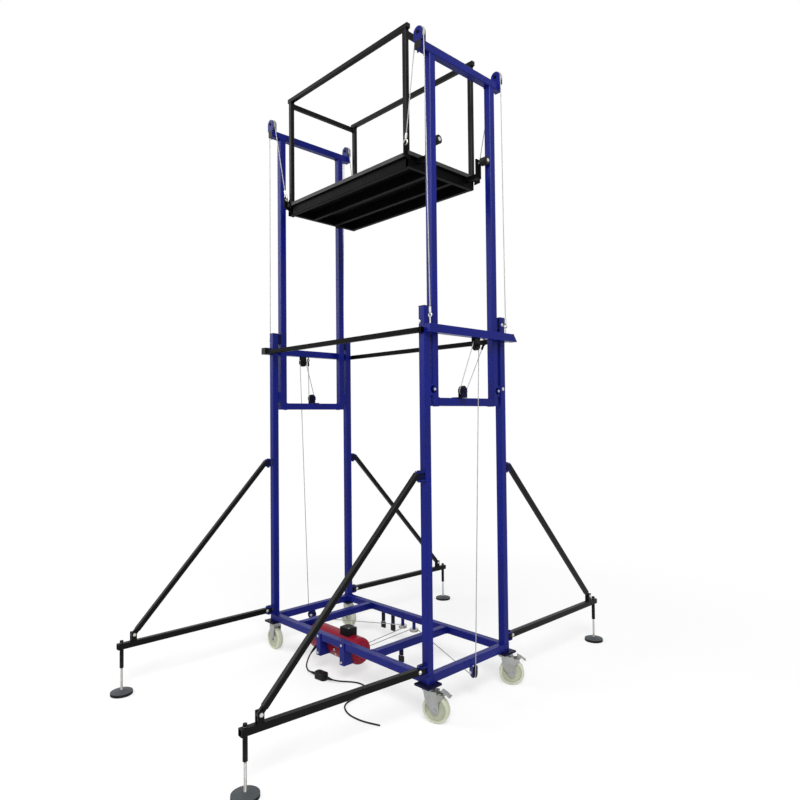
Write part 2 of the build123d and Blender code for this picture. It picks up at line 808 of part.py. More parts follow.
# Outriggers, each made along +X from its swing axis
def outrigger():
    """Arm, jack sleeve, brace clevis, brace and bolt."""
    arm_low = arm_z - ARM / 2
    arm_high = arm_z + ARM / 2
    arm = square_tube((-ARM_BACK, 0, arm_z), (JACK_REACH + ARM_PAST, 0, arm_z), ARM, ARM, ARM_WALL, (0, 1, 0))
    arm -= rod((0, 0, arm_low - OVERCUT), (0, 0, arm_high + OVERCUT), PIVOT_R + FIT)
    jack_hole = rod((0, 0, arm_low - OVERCUT), (0, 0, arm_high + OVERCUT), JACK_R + JACK_FIT)
    arm -= Pos(JACK_REACH, 0, 0) * jack_hole
    sleeve = rod((JACK_REACH, 0, SLEEVE_LOW), (JACK_REACH, 0, arm_low), SLEEVE_R)
    sleeve -= rod((JACK_REACH, 0, SLEEVE_LOW), (JACK_REACH, 0, arm_low), JACK_R + JACK_FIT)
    pieces = [arm, sleeve]
    ear_top = BRACE_FOOT_Z + BRACE_EYE_R
    eye_side = BRACE_EYE / 2 + HINGE_ROOM
    foot = (brace_reach, 0, BRACE_FOOT_Z)
    ear_bore = rod((brace_reach, -ARM, BRACE_FOOT_Z), (brace_reach, ARM, BRACE_FOOT_Z), BRACE_BOLT_R + FIT)
    for low, high in ((eye_side, eye_side + HINGE_PLATE), (-eye_side - HINGE_PLATE, -eye_side)):
        ear = block((brace_reach - BRACE_EYE_R, brace_reach + BRACE_EYE_R), (low, high), (arm_high, ear_top))
        pieces.append(ear - ear_bore)
    head_end = HINGE_HALF + BRACE_ROOM
    head_span = (BRACE_HEAD_Z - BRACE_HEAD / 2, BRACE_HEAD_Z + BRACE_HEAD / 2)
    head = block((-ARM_BACK, head_end), (-BRACE / 2, BRACE / 2), head_span)
    head -= rod((0, 0, BRACE_HEAD_Z - BRACE_HEAD), (0, 0, BRACE_HEAD_Z + BRACE_HEAD), PIVOT_R + FIT)
    start = Vector(head_end, 0, BRACE_HEAD_Z)
    run = (Vector(*foot) - start).normalized()
    eye_end = Vector(*foot) - run * (2 * BRACE_EYE_R)
    tube = square_tube(start - run * (BRACE / 2), eye_end, BRACE, BRACE, BRACE_WALL, (0, 1, 0))
    tube -= block((-BRACE, head_end), (-BRACE, BRACE), (BRACE_FOOT_Z, BRACE_HEAD_Z + BRACE))
    pieces += [head, tube]
    seat = Plane(origin=foot, x_dir=run, z_dir=(0, 1, 0))
    eye = Circle(BRACE_EYE_R) + Pos(-BRACE_EYE_R, 0) * Rectangle(2 * BRACE_EYE_R, BRACE)
    eye -= Circle(BRACE_BOLT_R + FIT)
    pieces.append(plate(eye, seat.offset(-BRACE_EYE / 2), BRACE_EYE))
    reach = eye_side + HINGE_PLATE
    pin = rod((brace_reach, -reach, BRACE_FOOT_Z), (brace_reach, reach, BRACE_FOOT_Z), BRACE_BOLT_R)
    for way in (-1, 1):
        near = Vector(brace_reach, way * reach, BRACE_FOOT_Z)
        pin += rod(near, near + Vector(0, way * PIN_HEAD, 0), BRACE_BOLT_R * PIN_HEAD_SHARE)
    pieces.append(pin)
    return pieces


def jack():
    """The screw with its turning head, and the round foot that it stands on."""
    pad = turned(
        [
            (0, 0),
            (PAD_R, 0),
            (PAD_R, PAD_RIM),
            (PAD_NECK_R, PAD_HEIGHT),
            (0, PAD_HEIGHT),
        ]
    )
    screw = rod((0, 0, PAD_HEIGHT), (0, 0, jack_top), JACK_R)
    cap = extrude(Plane.XY.offset(jack_top) * RegularPolygon(JACK_HEAD_R, 6), amount=JACK_HEAD)
    return [Pos(JACK_REACH, 0, 0) * pad, Pos(JACK_REACH, 0, 0) * (screw + cap)]


for name, (x, y) in corners.items():
    heading = math.copysign(90, y) - OUTRIGGER_TURN[name]
    place = Pos(x, math.copysign(pivot_y, y), 0) * Rot(0, 0, heading)
    save(f"outrigger_{name}", *[place * piece for piece in outrigger()])
    save(f"jack_{name}", *[place * piece for piece in jack()])


# Casters about their mounting axis: the right ones swivel, with the wheel trailing along +X and a
# brake, and the left ones are fixed, with the wheel straight below
def caster_fork(braked):
    """Ring, bridge, two legs, axle and, on a braked caster, the pedal's pin."""
    trail = TRAIL if braked else 0
    room = HINGE_ROOM if braked else 0
    inside = WHEEL_WIDTH / 2 + FORK_ROOM
    outside = inside + FORK_PLATE
    ring_top = CASTER_HEIGHT - room
    bridge_top = ring_top - FORK_RING
    bridge_low = bridge_top - FORK_BRIDGE
    ring = rod((0, 0, bridge_top), (0, 0, ring_top), FORK_RING_R)
    well = rod((0, 0, CASTER_HEIGHT - KINGPIN_LENGTH - HINGE_ROOM), (0, 0, CASTER_HEIGHT), KINGPIN_R + FIT)
    pieces = [ring - well]
    front = SWIVEL_FRONT if braked else FORK_FRONT
    rear = SWIVEL_BACK if braked else FORK_FRONT
    foot_r = SWIVEL_FOOT_R if braked else FORK_FOOT_R
    pieces.append(block((-front, rear), (-outside, outside), (bridge_low, bridge_top)) - well)
    foot = [(trail + foot_r, wheel_r), (trail - foot_r, wheel_r)]
    if braked:
        ear = pedal_x + PEDAL_SLEEVE_R
        back = [(ear, bridge_low), (ear, pedal_z - PEDAL_SLEEVE_R), (trail + HEEL_BACK, wheel_r + HEEL_RISE)]
        shin = [(-SHIN_FRONT, wheel_r + SHIN_RISE)]
    else:
        back = [(rear, bridge_low), (rear, pedal_z - PEDAL_SLEEVE_R)]
        shin = []
    outline = make_face(Polyline((-front, bridge_low), *back, *foot, *shin, close=True))
    outline += Pos(trail, wheel_r) * Circle(foot_r)
    outline -= Pos(trail, wheel_r) * Circle(AXLE_R + FIT)
    if braked:
        outline -= Pos(pedal_x, pedal_z) * Circle(PEDAL_PIN_R + FIT)
    for low in (-outside, inside):
        seat = Plane((0, low + FORK_PLATE, 0), x_dir=(1, 0, 0), z_dir=(0, -1, 0))
        pieces.append(plate(outline, seat, FORK_PLATE))
    axle = rod((trail, -outside, wheel_r), (trail, outside, wheel_r), AXLE_R)
    for way in (-1, 1):
        side = way * outside
        axle += rod((trail, side, wheel_r), (trail, side + way * AXLE_HEAD, wheel_r), AXLE_R * PIN_HEAD_SHARE)
    pieces.append(axle)
    if braked:
        pieces.append(rod((pedal_x, -outside, pedal_z), (pedal_x, outside, pedal_z), PEDAL_PIN_R))
    return pieces


def caster_wheel(trail):
    """A nylon wheel with a raised hub and rim."""
    side = WHEEL_WIDTH / 2
    dish = side - WHEEL_DISH
    rim = wheel_r - RIM_WIDTH
    bore = AXLE_R + FIT
    shoulder = wheel_r - WHEEL_ROUND
    half_profile = [
        (bore, side),
        (HUB_R, side),
        (HUB_R, dish),
        (rim, dish),
        (rim, side),
        (shoulder, side),
        (wheel_r, side - WHEEL_ROUND),
    ]
    other_half = [(r, -z) for r, z in reversed(half_profile)]
    return placed(turned(half_profile + other_half), (trail, 0, wheel_r), (0, 1, 0))


def brake_pedal():
    """A sleeve on the pedal pin with a curved guard behind the tyre that ends in a tread."""
    guard_r = wheel_r + PEDAL_GUARD
    low = Vector(guard_r - PEDAL_SHEET / 2, 0).rotate(Axis.Z, PEDAL_LOW)
    guard = Circle(guard_r) - Circle(guard_r - PEDAL_SHEET)
    wedge = [(0, 0)]
    for angle in (PEDAL_LOW, (PEDAL_LOW + PEDAL_HIGH) / 2, PEDAL_HIGH):
        edge = Vector(2 * guard_r, 0).rotate(Axis.Z, angle)
        wedge.append((edge.X, edge.Y))
    guard &= make_face(Polyline(*wedge, close=True))
    guard += Pos(low.X + PEDAL_TREAD / 2, low.Y) * Rectangle(PEDAL_TREAD, PEDAL_SHEET)
    outline = Pos(TRAIL, wheel_r) * guard
    middle = Vector(guard_r - PEDAL_SHEET / 2, 0).rotate(Axis.Z, (PEDAL_LOW + PEDAL_HIGH) / 2)
    web = middle + Vector(TRAIL - pedal_x, wheel_r - pedal_z)
    lean = math.degrees(math.atan2(web.Y, web.X))
    strip = Pos(web.length / 2, 0) * Rectangle(web.length, PEDAL_SLEEVE_R)
    outline += Pos(pedal_x, pedal_z) * Rot(0, 0, lean) * strip
    outline += Pos(pedal_x, pedal_z) * Circle(PEDAL_SLEEVE_R)
    outline -= Pos(pedal_x, pedal_z) * Circle(PEDAL_PIN_R + FIT)
    seat = Plane((0, PEDAL_WIDTH / 2, 0), x_dir=(1, 0, 0), z_dir=(0, -1, 0))
    return plate(outline, seat, PEDAL_WIDTH)


pedal_z = CASTER_HEIGHT - HINGE_ROOM - FORK_RING - FORK_BRIDGE - PEDAL_SLEEVE_R
pedal_height = pedal_z - wheel_r
pedal_x = TRAIL + math.sqrt((wheel_r + PEDAL_SLEEVE_R + PEDAL_ROOM) ** 2 - pedal_height**2)
for name, (x, y) in corners.items():
    braked = x > 0
    place = Pos(x, y, 0) * Rot(0, 0, CASTER_TURN[name])
    save(f"caster_fork_{name}", *[place * piece for piece in caster_fork(braked)])
    save(f"caster_wheel_{name}", place * caster_wheel(TRAIL if braked else 0))
    if braked:
        save(f"brake_pedal_{name}", place * brake_pedal())


# Winch
def along_winch(shape, x):
    """Put a shape made about Z on the winch's axis, starting at x."""
    return placed(shape, (x, WINCH_Y, WINCH_Z), (1, 0, 0))


def round_end(length, radius, ease):
    """A drum-shaped cover whose far rim is rounded."""
    cover = Pos(0, 0, length / 2) * Cylinder(radius, length)
    return fillet(cover.edges().group_by(Axis.Z)[-1], ease)


drum_left = MOTOR_RIGHT + END_ROOM
drum_right = drum_left + DRUM_LENGTH
gearbox_left = drum_right + END_ROOM
motor_length = MOTOR_RIGHT - MOTOR_LEFT
seat_bore = Pos(0, 0, -SHAFT_SEAT) * Cylinder(
    DRUM_SHAFT_R + FIT, SHAFT_SEAT, align=(Align.CENTER, Align.CENTER, Align.MIN)
)
motor_body = Pos(0, 0, motor_length / 2) * Cylinder(MOTOR_R, motor_length)
motor_body -= Pos(0, 0, motor_length) * seat_bore
fan_cover = round_end(FAN_COVER_LENGTH, FAN_COVER_R, FAN_COVER_ROUND)
save(
    "winch_motor",
    along_winch(motor_body, MOTOR_LEFT),
    placed(fan_cover, (MOTOR_LEFT, WINCH_Y, WINCH_Z), (-1, 0, 0)),
)
gearbox = round_end(GEARBOX_LENGTH, MOTOR_R, GEARBOX_ROUND)
gearbox -= Cylinder(DRUM_SHAFT_R + FIT, SHAFT_SEAT, align=(Align.CENTER, Align.CENTER, Align.MIN))
case_length = gearbox_left - MOTOR_RIGHT
drum_case = Cylinder(MOTOR_R, case_length) - Cylinder(MOTOR_R - CASE_WALL, case_length)
drum_case = along_winch(Pos(0, 0, case_length / 2) * drum_case, MOTOR_RIGHT)
drum_case -= block(
    (MOTOR_RIGHT - CAP, gearbox_left + CAP),
    (WINCH_Y, WINCH_Y + 2 * MOTOR_R),
    (rope_z - CASE_MOUTH, rope_z + CASE_MOUTH),
)
save("winch_gearbox", along_winch(gearbox, gearbox_left), drum_case)

core_r = DRUM_ROPE_R - ROPE_R - GROOVE_ROOM
drum = Pos(0, 0, DRUM_LENGTH / 2) * Cylinder(core_r, DRUM_LENGTH)
for z in (DRUM_FLANGE / 2, DRUM_LENGTH - DRUM_FLANGE / 2):
    drum += Pos(0, 0, z) * Cylinder(DRUM_FLANGE_R, DRUM_FLANGE)
shaft_length = DRUM_LENGTH + 2 * SHAFT_SEAT
drum += Pos(0, 0, DRUM_LENGTH / 2) * Cylinder(DRUM_SHAFT_R, shaft_length)
save("winch_drum", along_winch(drum, drum_left))


# The rope on the drum: an open coil for each lift rope
def coil(leaves_x):
    """One rope's turns in quarter-turn arcs, with straight ends, from where the rope leaves the drum."""

    x = leaves_x + COIL_SHIFT

    def point(quarter):
        angle = math.radians(-90 - 90 * quarter)
        return Vector(
            x + COIL_PITCH * quarter / 4,
            WINCH_Y + DRUM_ROPE_R * math.cos(angle),
            WINCH_Z + DRUM_ROPE_R * math.sin(angle),
        )

    quarters = COIL_TURNS * 4
    arcs = [ThreePointArc(point(q), point(q + 0.5), point(q + 1)) for q in range(quarters)]
    tail = arcs[0] @ 0 - (arcs[0] % 0) * (2 * ROPE_R)
    end = arcs[-1] @ 1 + (arcs[-1] % 1) * (2 * ROPE_R)
    path = Wire([Line(tail, arcs[0] @ 0)] + arcs + [Line(arcs[-1] @ 1, end)])
    per_turn = 32
    points = [point(4 * i / per_turn) for i in range(COIL_TURNS * per_turn + 1)]
    pairs = ((a, b) for i, a in enumerate(points) for b in points[i + per_turn // 2 :])
    least = min((a - b).length for a, b in pairs) - 2 * ROPE_R
    print(f"coil at {x:.0f}: least gap to itself {least:.2f} mm")
    return sweep(Plane(origin=tail, z_dir=path % 0) * Circle(ROPE_R), path=path)


save("drum_rope", coil(DRUM_ROPE_LEFT), coil(DRUM_ROPE_RIGHT))


def winch_bracket(x):
    """A front plate over the front tube with two walls that reach back to the motor."""
    reach = BRACKET_WIDTH / 2
    face = -POST_Y - half
    front = block((x - reach, x + reach), (face - BRACKET_PLATE, face), (BRACKET_LOW, base_top))
    walls = block((x - reach, x + reach), (face, WINCH_Y), (BRACKET_LOW, base_z))
    walls -= block(
        (x - reach + BRACKET_PLATE, x + reach - BRACKET_PLATE),
        (face, WINCH_Y),
        (BRACKET_LOW + BRACKET_PLATE, base_z),
    )
    motor = rod((x - BRACKET_WIDTH, WINCH_Y, WINCH_Z), (x + BRACKET_WIDTH, WINCH_Y, WINCH_Z), MOTOR_R + FIT)
    for z in (base_top - BRACKET_BOLT_IN, BRACKET_LOW + BRACKET_BOLT_IN):
        front -= bracket_hole(x, z)
    return [front, walls - motor]


save("winch_brackets", *[piece for x in BRACKET_X for piece in winch_bracket(x)])

terminal_box = block(BOX_X, BOX_Y, (BOX_SEAT, BOX_TOP))
terminal_box = fillet(terminal_box.edges().group_by(Axis.Z)[-1], EDGE)
terminal_box -= rod((BOX_X[0] - CAP, WINCH_Y, WINCH_Z), (BOX_X[1] + CAP, WINCH_Y, WINCH_Z), MOTOR_R + FIT)
gland_way = Vector(0, math.cos(math.radians(GLAND_ANGLE)), math.sin(math.radians(GLAND_ANGLE)))
gland_axis = Vector(GLAND_X, WINCH_Y, WINCH_Z)
gland_tip = gland_axis + gland_way * (MOTOR_R + GLAND_LENGTH)
gland = rod(gland_axis + gland_way * (MOTOR_R - EDGE), gland_tip, GLAND_R)
gland -= rod((MOTOR_LEFT, WINCH_Y, WINCH_Z), (MOTOR_RIGHT, WINCH_Y, WINCH_Z), MOTOR_R + FIT)
save("terminal_box", terminal_box, gland)


# Platform
def platform_frame():
    """Rim tubes, joists, guide arms with their plates and pins, and rope lugs with their links."""
    top = DECK_TOP - DECK
    level = top - JOIST_DEPTH / 2
    end_x = DECK_X - FRAME_INSET
    side_y = DECK_Y - FRAME_INSET - JOIST / 2
    long_x = end_x - JOIST
    pieces = []
    for y in (-side_y, -JOIST_Y, JOIST_Y, side_y):
        tube = square_tube((-long_x, y, level), (long_x, y, level), JOIST, JOIST_DEPTH, JOIST_WALL, (0, 1, 0))
        pieces.append(tube)
    full_y = DECK_Y - FRAME_INSET
    for x in (-end_x + JOIST / 2, end_x - JOIST / 2):
        tube = square_tube((x, -full_y, level), (x, full_y, level), JOIST, JOIST_DEPTH, JOIST_WALL, (1, 0, 0))
        pieces.append(tube)
    roller_y = MAST_Y - half - ROLLER_R - ROLLER_GAP
    arm_z = top - GUIDE_ARM / 2
    pin_end = mast_x + ROLLER_LENGTH / 2
    plate_top = ROLLER_Z + GUIDE_PLATE_HALF
    for side in (-1, 1):
        for way in (-1, 1):
            y = way * roller_y
            arm = square_tube(
                (side * end_x, y, arm_z),
                (side * GUIDE_PLATE_X, y, arm_z),
                GUIDE_ARM,
                GUIDE_ARM,
                JOIST_WALL,
                (0, 1, 0),
            )
            near, far = sorted((side * GUIDE_PLATE_X, side * (GUIDE_PLATE_X + GUIDE_PLATE)))
            width = (y - GUIDE_PLATE_HALF, y + GUIDE_PLATE_HALF)
            carrier = block((near, far), width, (top - GUIDE_ARM, plate_top))
            carrier -= rod((near - OVERCUT, y, ROLLER_Z), (far + OVERCUT, y, ROLLER_Z), ROLLER_PIN_R + FIT)
            root = Vector(side * GUIDE_PLATE_X, y, ROLLER_Z)
            tip = Vector(side * pin_end, y, ROLLER_Z)
            out = Vector(side, 0, 0)
            pin = rod(root, tip, ROLLER_PIN_R)
            pin += rod(root - out * PIN_HEAD, root, ROLLER_PIN_R * PIN_HEAD_SHARE)
            pin += rod(tip, tip + out * (CAP / 2), ROLLER_PIN_R * PIN_HEAD_SHARE)
            pieces += [arm, carrier, pin]
            pieces += rope_lug(side, way)
    return pieces


def rope_lug(side, way):
    """A plate from the frame round the deck's edge, with the link that the rope hangs it by."""
    low = DECK_TOP - DECK - JOIST_DEPTH / 2
    under = DECK_TOP - DECK
    inner = DECK_Y - FRAME_INSET
    clear = DECK_Y + CAP
    outer = LUG_Y + LUG_EDGE
    outline = make_face(
        Polyline(
            (inner, low),
            (inner, under),
            (clear, under),
            (clear, LUG_Z + LUG_EDGE),
            (outer, LUG_Z + LUG_EDGE),
            (outer, under - CAP),
            close=True,
        )
    )
    outline -= Pos(LUG_Y, LUG_Z) * Circle(LUG_HOLE_R)
    lug = plate(outline, Plane.YZ.offset(LUG_X - LUG / 2), LUG)
    link_ring = Pos(LUG_X, LUG_Y, link_z) * Rot(90, 0, 0) * Torus(EYE_R + EYE_WIRE_R, EYE_WIRE_R)
    pieces = [lug, link_ring]
    if way < 0:
        pieces = [mirror(piece, Plane.XZ) for piece in pieces]
    if side < 0:
        pieces = [mirror(piece, Plane.YZ) for piece in pieces]
    return pieces


platform_ferrules += [half_turn * piece for piece in platform_ferrules]
save("platform_frame", *platform_frame(), *platform_ferrules)
deck = block((-DECK_X, DECK_X), (-DECK_Y, DECK_Y), (DECK_TOP - DECK, DECK_TOP))
for side in (-1, 1):
    for way in (-1, 1):
        x = sorted((side * (RAIL_X - RAIL - RAIL_ROOM), side * (RAIL_X + RAIL_ROOM)))
        y = sorted((way * (RAIL_Y - RAIL - RAIL_ROOM), way * (DECK_Y + OVERCUT)))
        deck -= block(x, y, (DECK_TOP - DECK - OVERCUT, DECK_TOP + OVERCUT))
save("deck", deck)


def rail_tube(start, end, side):
    """One tube of the guard rail."""
    return square_tube(start, end, RAIL, RAIL, RAIL_WALL, side)


def guard_rail():
    """Four corner posts, two long top rails and two lower end rails."""
    x = RAIL_X - RAIL / 2
    y = RAIL_Y - RAIL / 2
    rail_z = RAIL_TOP - RAIL / 2
    side_z = rail_z - SIDE_RAIL_DROP
    post_top = RAIL_TOP - RAIL
    pieces = []
    for px in (-x, x):
        for py in (-y, y):
            pieces.append(rail_tube((px, py, DECK_TOP - DECK), (px, py, post_top), (1, 0, 0)))
        inside = y - RAIL / 2
        pieces.append(rail_tube((px, -inside, side_z), (px, inside, side_z), (1, 0, 0)))
    for py in (-y, y):
        reach = RAIL_X + RAIL_PAST
        pieces.append(rail_tube((-reach, py, rail_z), (reach, py, rail_z), (0, 1, 0)))
    return pieces


save("guard_rail", *guard_rail())

roller_y = MAST_Y - half - ROLLER_R - ROLLER_GAP
roller = Cylinder(ROLLER_R, ROLLER_LENGTH - CAP) - Cylinder(ROLLER_PIN_R + FIT, ROLLER_LENGTH)
for name, y in (("front", -roller_y), ("back", roller_y)):
    pair = [placed(roller, (x, y, ROLLER_Z), (1, 0, 0)) for x in (-mast_x + CAP / 2, mast_x - CAP / 2)]
    save(f"{name}_guide_rollers", *pair)


# Stops under the base
def stop(x, y, rod_top, foot_low):
    """A short tube, a threaded rod and a rubber foot."""
    reach = STOP_FOOT / 2
    foot_top = rod_top - STOP_ROD_R
    return [
        square_tube((x, y, rod_top), (x, y, base_z), STOP, STOP / 2, RAIL_WALL, (1, 0, 0)),
        rod((x, y, foot_top), (x, y, rod_top), STOP_ROD_R),
        block((x - reach, x + reach), (y - STOP / 4, y + STOP / 4), (foot_low, foot_top)),
    ]


save("stop_feet", *[piece for values in STOPS for piece in stop(*values)])


# Bolts, rope anchors and fixed pins
def eye_bolt(seat, way, length):
    """A stem with a ring, standing up from a face or hanging under it."""
    seat = Vector(*seat)
    ring = seat + up * (way * (length + EYE_R))
    stem = rod(seat, seat + up * (way * length), EYE_WIRE_R)
    return stem + Pos(*ring) * Rot(90, 0, 0) * Torus(EYE_R, EYE_WIRE_R)


def portal_hardware(side):
    """Eyes, ferrules, block pin and tie-bar bolts of a portal, before the left's half turn."""
    pieces = []
    for way in (-1, 1):
        pieces.append(eye_bolt((ANCHOR_X, way * ANCHOR_Y, anchor_top), 1, ANCHOR_STEM))
        face = way * (POST_Y + half + TIE)
        pieces.append(bolt((POST_X, face, TIE_Z), (0, -way, 0), TIE + WALL))
    pieces += anchor_ferrules
    pieces.append(eye_bolt((DEAD_END_X, DEAD_END_Y[side], TOP_BEAM_Z), -1, EYE_STEM))
    pieces.append(dead_ferrules[side])
    pieces.append(sheave_pin(block_centre, (1, 0, 0), cheek_outside))
    return pieces


hardware = []
for side, place in sides.items():
    hardware += [place * piece for piece in portal_hardware(side)]
    _, turn, base_centre, base_axis = ropes[side]
    hardware.append(sheave_pin(base_centre, base_axis, cheek_outside))
    low = turn - up * (SHEAVE_WIDTH / 2 + FIT)
    pin = rod(low, (turn.X, turn.Y, base_z), PIN_R)
    hardware.append(pin + rod(low - up * PIN_HEAD, low, SPACER_R))
for x in BRACKET_X:
    face = -POST_Y - half - BRACKET_PLATE
    for z in (base_top - BRACKET_BOLT_IN, BRACKET_LOW + BRACKET_BOLT_IN):
        hardware.append(bolt((x, face, z), (0, 1, 0), BRACKET_PLATE + WALL))
save("bolts_and_anchors", *hardware)


# Hand control, its two buttons and the cords
control_place = Pos(CONTROL_AT[0], CONTROL_AT[1], 0) * Rot(0, 0, CONTROL_TURN)
case = Pos(0, 0, CONTROL_HEIGHT / 2) * Box(CONTROL_LENGTH, CONTROL_WIDTH, CONTROL_HEIGHT)
case = fillet(case.edges().filter_by(Axis.Z), CONTROL_ROUND)
case = fillet(case.edges().group_by(Axis.Z)[-1], CONTROL_ROUND / 3)
well_low = CONTROL_HEIGHT - BUTTON_DEPTH
for x in (-BUTTON_PITCH / 2, BUTTON_PITCH / 2):
    case -= rod((x, 0, well_low), (x, 0, CONTROL_HEIGHT + OVERCUT), BUTTON_R + BUTTON_GAP)
ends = []
for way in (-1, 1):
    edge = way * CONTROL_LENGTH / 2
    ends.append(rod((edge, 0, CONTROL_EXIT_Z), (edge + way * GLAND_LENGTH, 0, CONTROL_EXIT_Z), GLAND_R))
save("hand_control", control_place * case, *[control_place * end for end in ends])
for name, x in (("up_button", -BUTTON_PITCH / 2), ("down_button", BUTTON_PITCH / 2)):
    low = well_low + BUTTON_PROUD / 2 + BUTTON_GAP
    button = rod((x, 0, low), (x, 0, CONTROL_HEIGHT + BUTTON_PROUD), BUTTON_R)
    save(name, control_place * fillet(button.edges().group_by(Axis.Z)[-1], BUTTON_PROUD / 4))

exit_way = CONTROL_LENGTH / 2 + GLAND_LENGTH
left_exit = (control_place * Pos(-exit_way, 0, CONTROL_EXIT_Z)).position
right_exit = (control_place * Pos(exit_way, 0, CONTROL_EXIT_Z)).position


def cord(name, points):
    """A cord's tube: straight runs with an arc at each point as large as its runs allow."""
    points = [Vector(*point) for point in points]
    radii = []
    for before, here, after in zip(points, points[1:], points[2:]):
        turn = (here - before).get_angle(after - here)
        run = min((here - before).length, (after - here).length)
        radii.append(CORD_BEND_SHARE * run / math.tan(math.radians(turn / 2)))
    path = FilletPolyline(*points, radius=radii)
    tube = sweep(Plane(origin=path @ 0, z_dir=path % 0) * Circle(CORD_R), path=path)
    share = tube.volume / (math.pi * CORD_R**2 * path.length)
    print(name, "radii", [round(radius) for radius in radii])
    print(name, f"length {path.length:.0f} mm, volume share {share:.4f}")
    save(name, tube)


def lead(tip, way, length):
    """A point straight out of a gland."""
    return tip + way * length


control_way = (right_exit - left_exit).normalized()
cord(
    "control_cord",
    [gland_tip, lead(gland_tip, gland_way, CORD_LEAD)]
    + list(CONTROL_CORD_POINTS)
    + [lead(left_exit, control_way * -1, CORD_LEAD), left_exit],
)
cord(
    "supply_cord",
    [right_exit, lead(right_exit, control_way, CORD_LEAD)]
    + list(SUPPLY_CORD_POINTS),
)
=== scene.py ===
# %% [markdown]
# # A cargo lift, dressed for its photograph
# The solids of the lift come in as a fixed frame that knows which pieces move together. This lesson adds
# what solids leave out: paint and zinc, laid wire rope, cords, weld beads, screws, light and a camera.
# Everything is in metres, with X from the left portal to the right one, -Y to the front and Z up.

import json
import math

import bmesh
import bpy
import numpy as np
from mathutils import Matrix, Vector


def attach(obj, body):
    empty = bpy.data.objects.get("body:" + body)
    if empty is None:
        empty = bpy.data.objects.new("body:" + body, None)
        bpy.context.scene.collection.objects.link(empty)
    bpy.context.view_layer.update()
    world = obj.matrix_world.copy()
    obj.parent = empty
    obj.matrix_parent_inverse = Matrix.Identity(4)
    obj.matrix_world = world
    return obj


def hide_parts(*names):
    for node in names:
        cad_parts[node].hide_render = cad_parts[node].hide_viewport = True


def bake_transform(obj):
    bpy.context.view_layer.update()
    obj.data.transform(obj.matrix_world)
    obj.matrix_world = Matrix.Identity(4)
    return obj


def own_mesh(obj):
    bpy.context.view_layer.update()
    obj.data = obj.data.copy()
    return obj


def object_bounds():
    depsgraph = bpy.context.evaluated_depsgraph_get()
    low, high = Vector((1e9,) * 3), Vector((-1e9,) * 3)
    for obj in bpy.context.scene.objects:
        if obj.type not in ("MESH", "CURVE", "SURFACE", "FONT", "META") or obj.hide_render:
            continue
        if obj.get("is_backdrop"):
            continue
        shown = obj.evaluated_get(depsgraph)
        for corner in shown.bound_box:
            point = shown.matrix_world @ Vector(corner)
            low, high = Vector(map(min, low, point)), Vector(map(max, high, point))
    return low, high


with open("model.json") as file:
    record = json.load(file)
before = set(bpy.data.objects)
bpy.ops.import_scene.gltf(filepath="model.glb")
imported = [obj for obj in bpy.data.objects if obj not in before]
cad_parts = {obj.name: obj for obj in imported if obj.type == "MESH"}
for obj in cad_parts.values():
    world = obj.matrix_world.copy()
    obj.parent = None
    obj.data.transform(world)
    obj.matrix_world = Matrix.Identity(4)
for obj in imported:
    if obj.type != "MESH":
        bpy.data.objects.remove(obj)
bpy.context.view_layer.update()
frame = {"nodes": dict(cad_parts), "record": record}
nodes = frame["nodes"]

# %% [markdown]
# ## A pen for node trees
# Finishes and repeating pieces are both made of nodes. Clicking nodes together in code is wordy, so one
# small class wraps a socket: sums of sockets and numbers are written as plain Python, and any other node
# comes from one method that sets its settings first and its sockets after.

# %% The pen
class Wire:
    """One output of a node tree. Sums with numbers or other wires add Math nodes."""

    def __init__(self, tree, socket=None):
        self.tree = tree
        self.socket = socket

    def node(self, kind, settings=None, sockets=None, out=0):
        made = self.tree.nodes.new(kind)
        for name, value in (settings or {}).items():
            setattr(made, name, value)
        for key, value in (sockets or {}).items():
            if isinstance(value, Wire):
                self.tree.links.new(value.socket, made.inputs[key])
            else:
                made.inputs[key].default_value = value
        return Wire(self.tree, made.outputs[out] if made.outputs else None)

    def maths(self, operation, *values):
        return self.node("ShaderNodeMath", {"operation": operation}, dict(enumerate(values)))

    def vectors(self, operation, *values, out=0):
        return self.node("ShaderNodeVectorMath", {"operation": operation}, dict(enumerate(values)), out)

    def __add__(self, other):
        return self.maths("ADD", self, other)

    def __radd__(self, other):
        return self.maths("ADD", other, self)

    def __sub__(self, other):
        return self.maths("SUBTRACT", self, other)

    def __rsub__(self, other):
        return self.maths("SUBTRACT", other, self)

    def __mul__(self, other):
        return self.maths("MULTIPLY", self, other)

    def __rmul__(self, other):
        return self.maths("MULTIPLY", other, self)

    def __truediv__(self, other):
        return self.maths("DIVIDE", self, other)

    def ease(self, low, high):
        """0 below low, 1 above high, smooth between."""
        sockets = {"Value": self, "From Min": low, "From Max": high}
        return self.node("ShaderNodeMapRange", {"interpolation_type": "SMOOTHSTEP"}, sockets)

    def colours(self, below, above):
        """Mix two colours by this wire."""
        return self.node("ShaderNodeMix", {"data_type": "RGBA"}, {0: self, 6: below, 7: above}, out=2)


def new_finish(name):
    """An empty material and a pen for its tree."""
    material = bpy.data.materials.new(name)
    material.use_nodes = True
    material.node_tree.nodes.clear()
    return material, Wire(material.node_tree)


def close_finish(pen, sockets):
    """Put the values on a Principled shader and join it to the output."""
    shader = pen.node("ShaderNodeBsdfPrincipled", {}, sockets)
    pen.node("ShaderNodeOutputMaterial", {}, {"Surface": shader})


def grain(pen, place, scale, detail=2.0):
    """Noise at a scale per metre."""
    return pen.node("ShaderNodeTexNoise", {}, {"Vector": place, "Scale": scale, "Detail": detail})


def bump(pen, height, distance, strength=1.0):
    return pen.node("ShaderNodeBump", {}, {"Strength": strength, "Distance": distance, "Height": height})


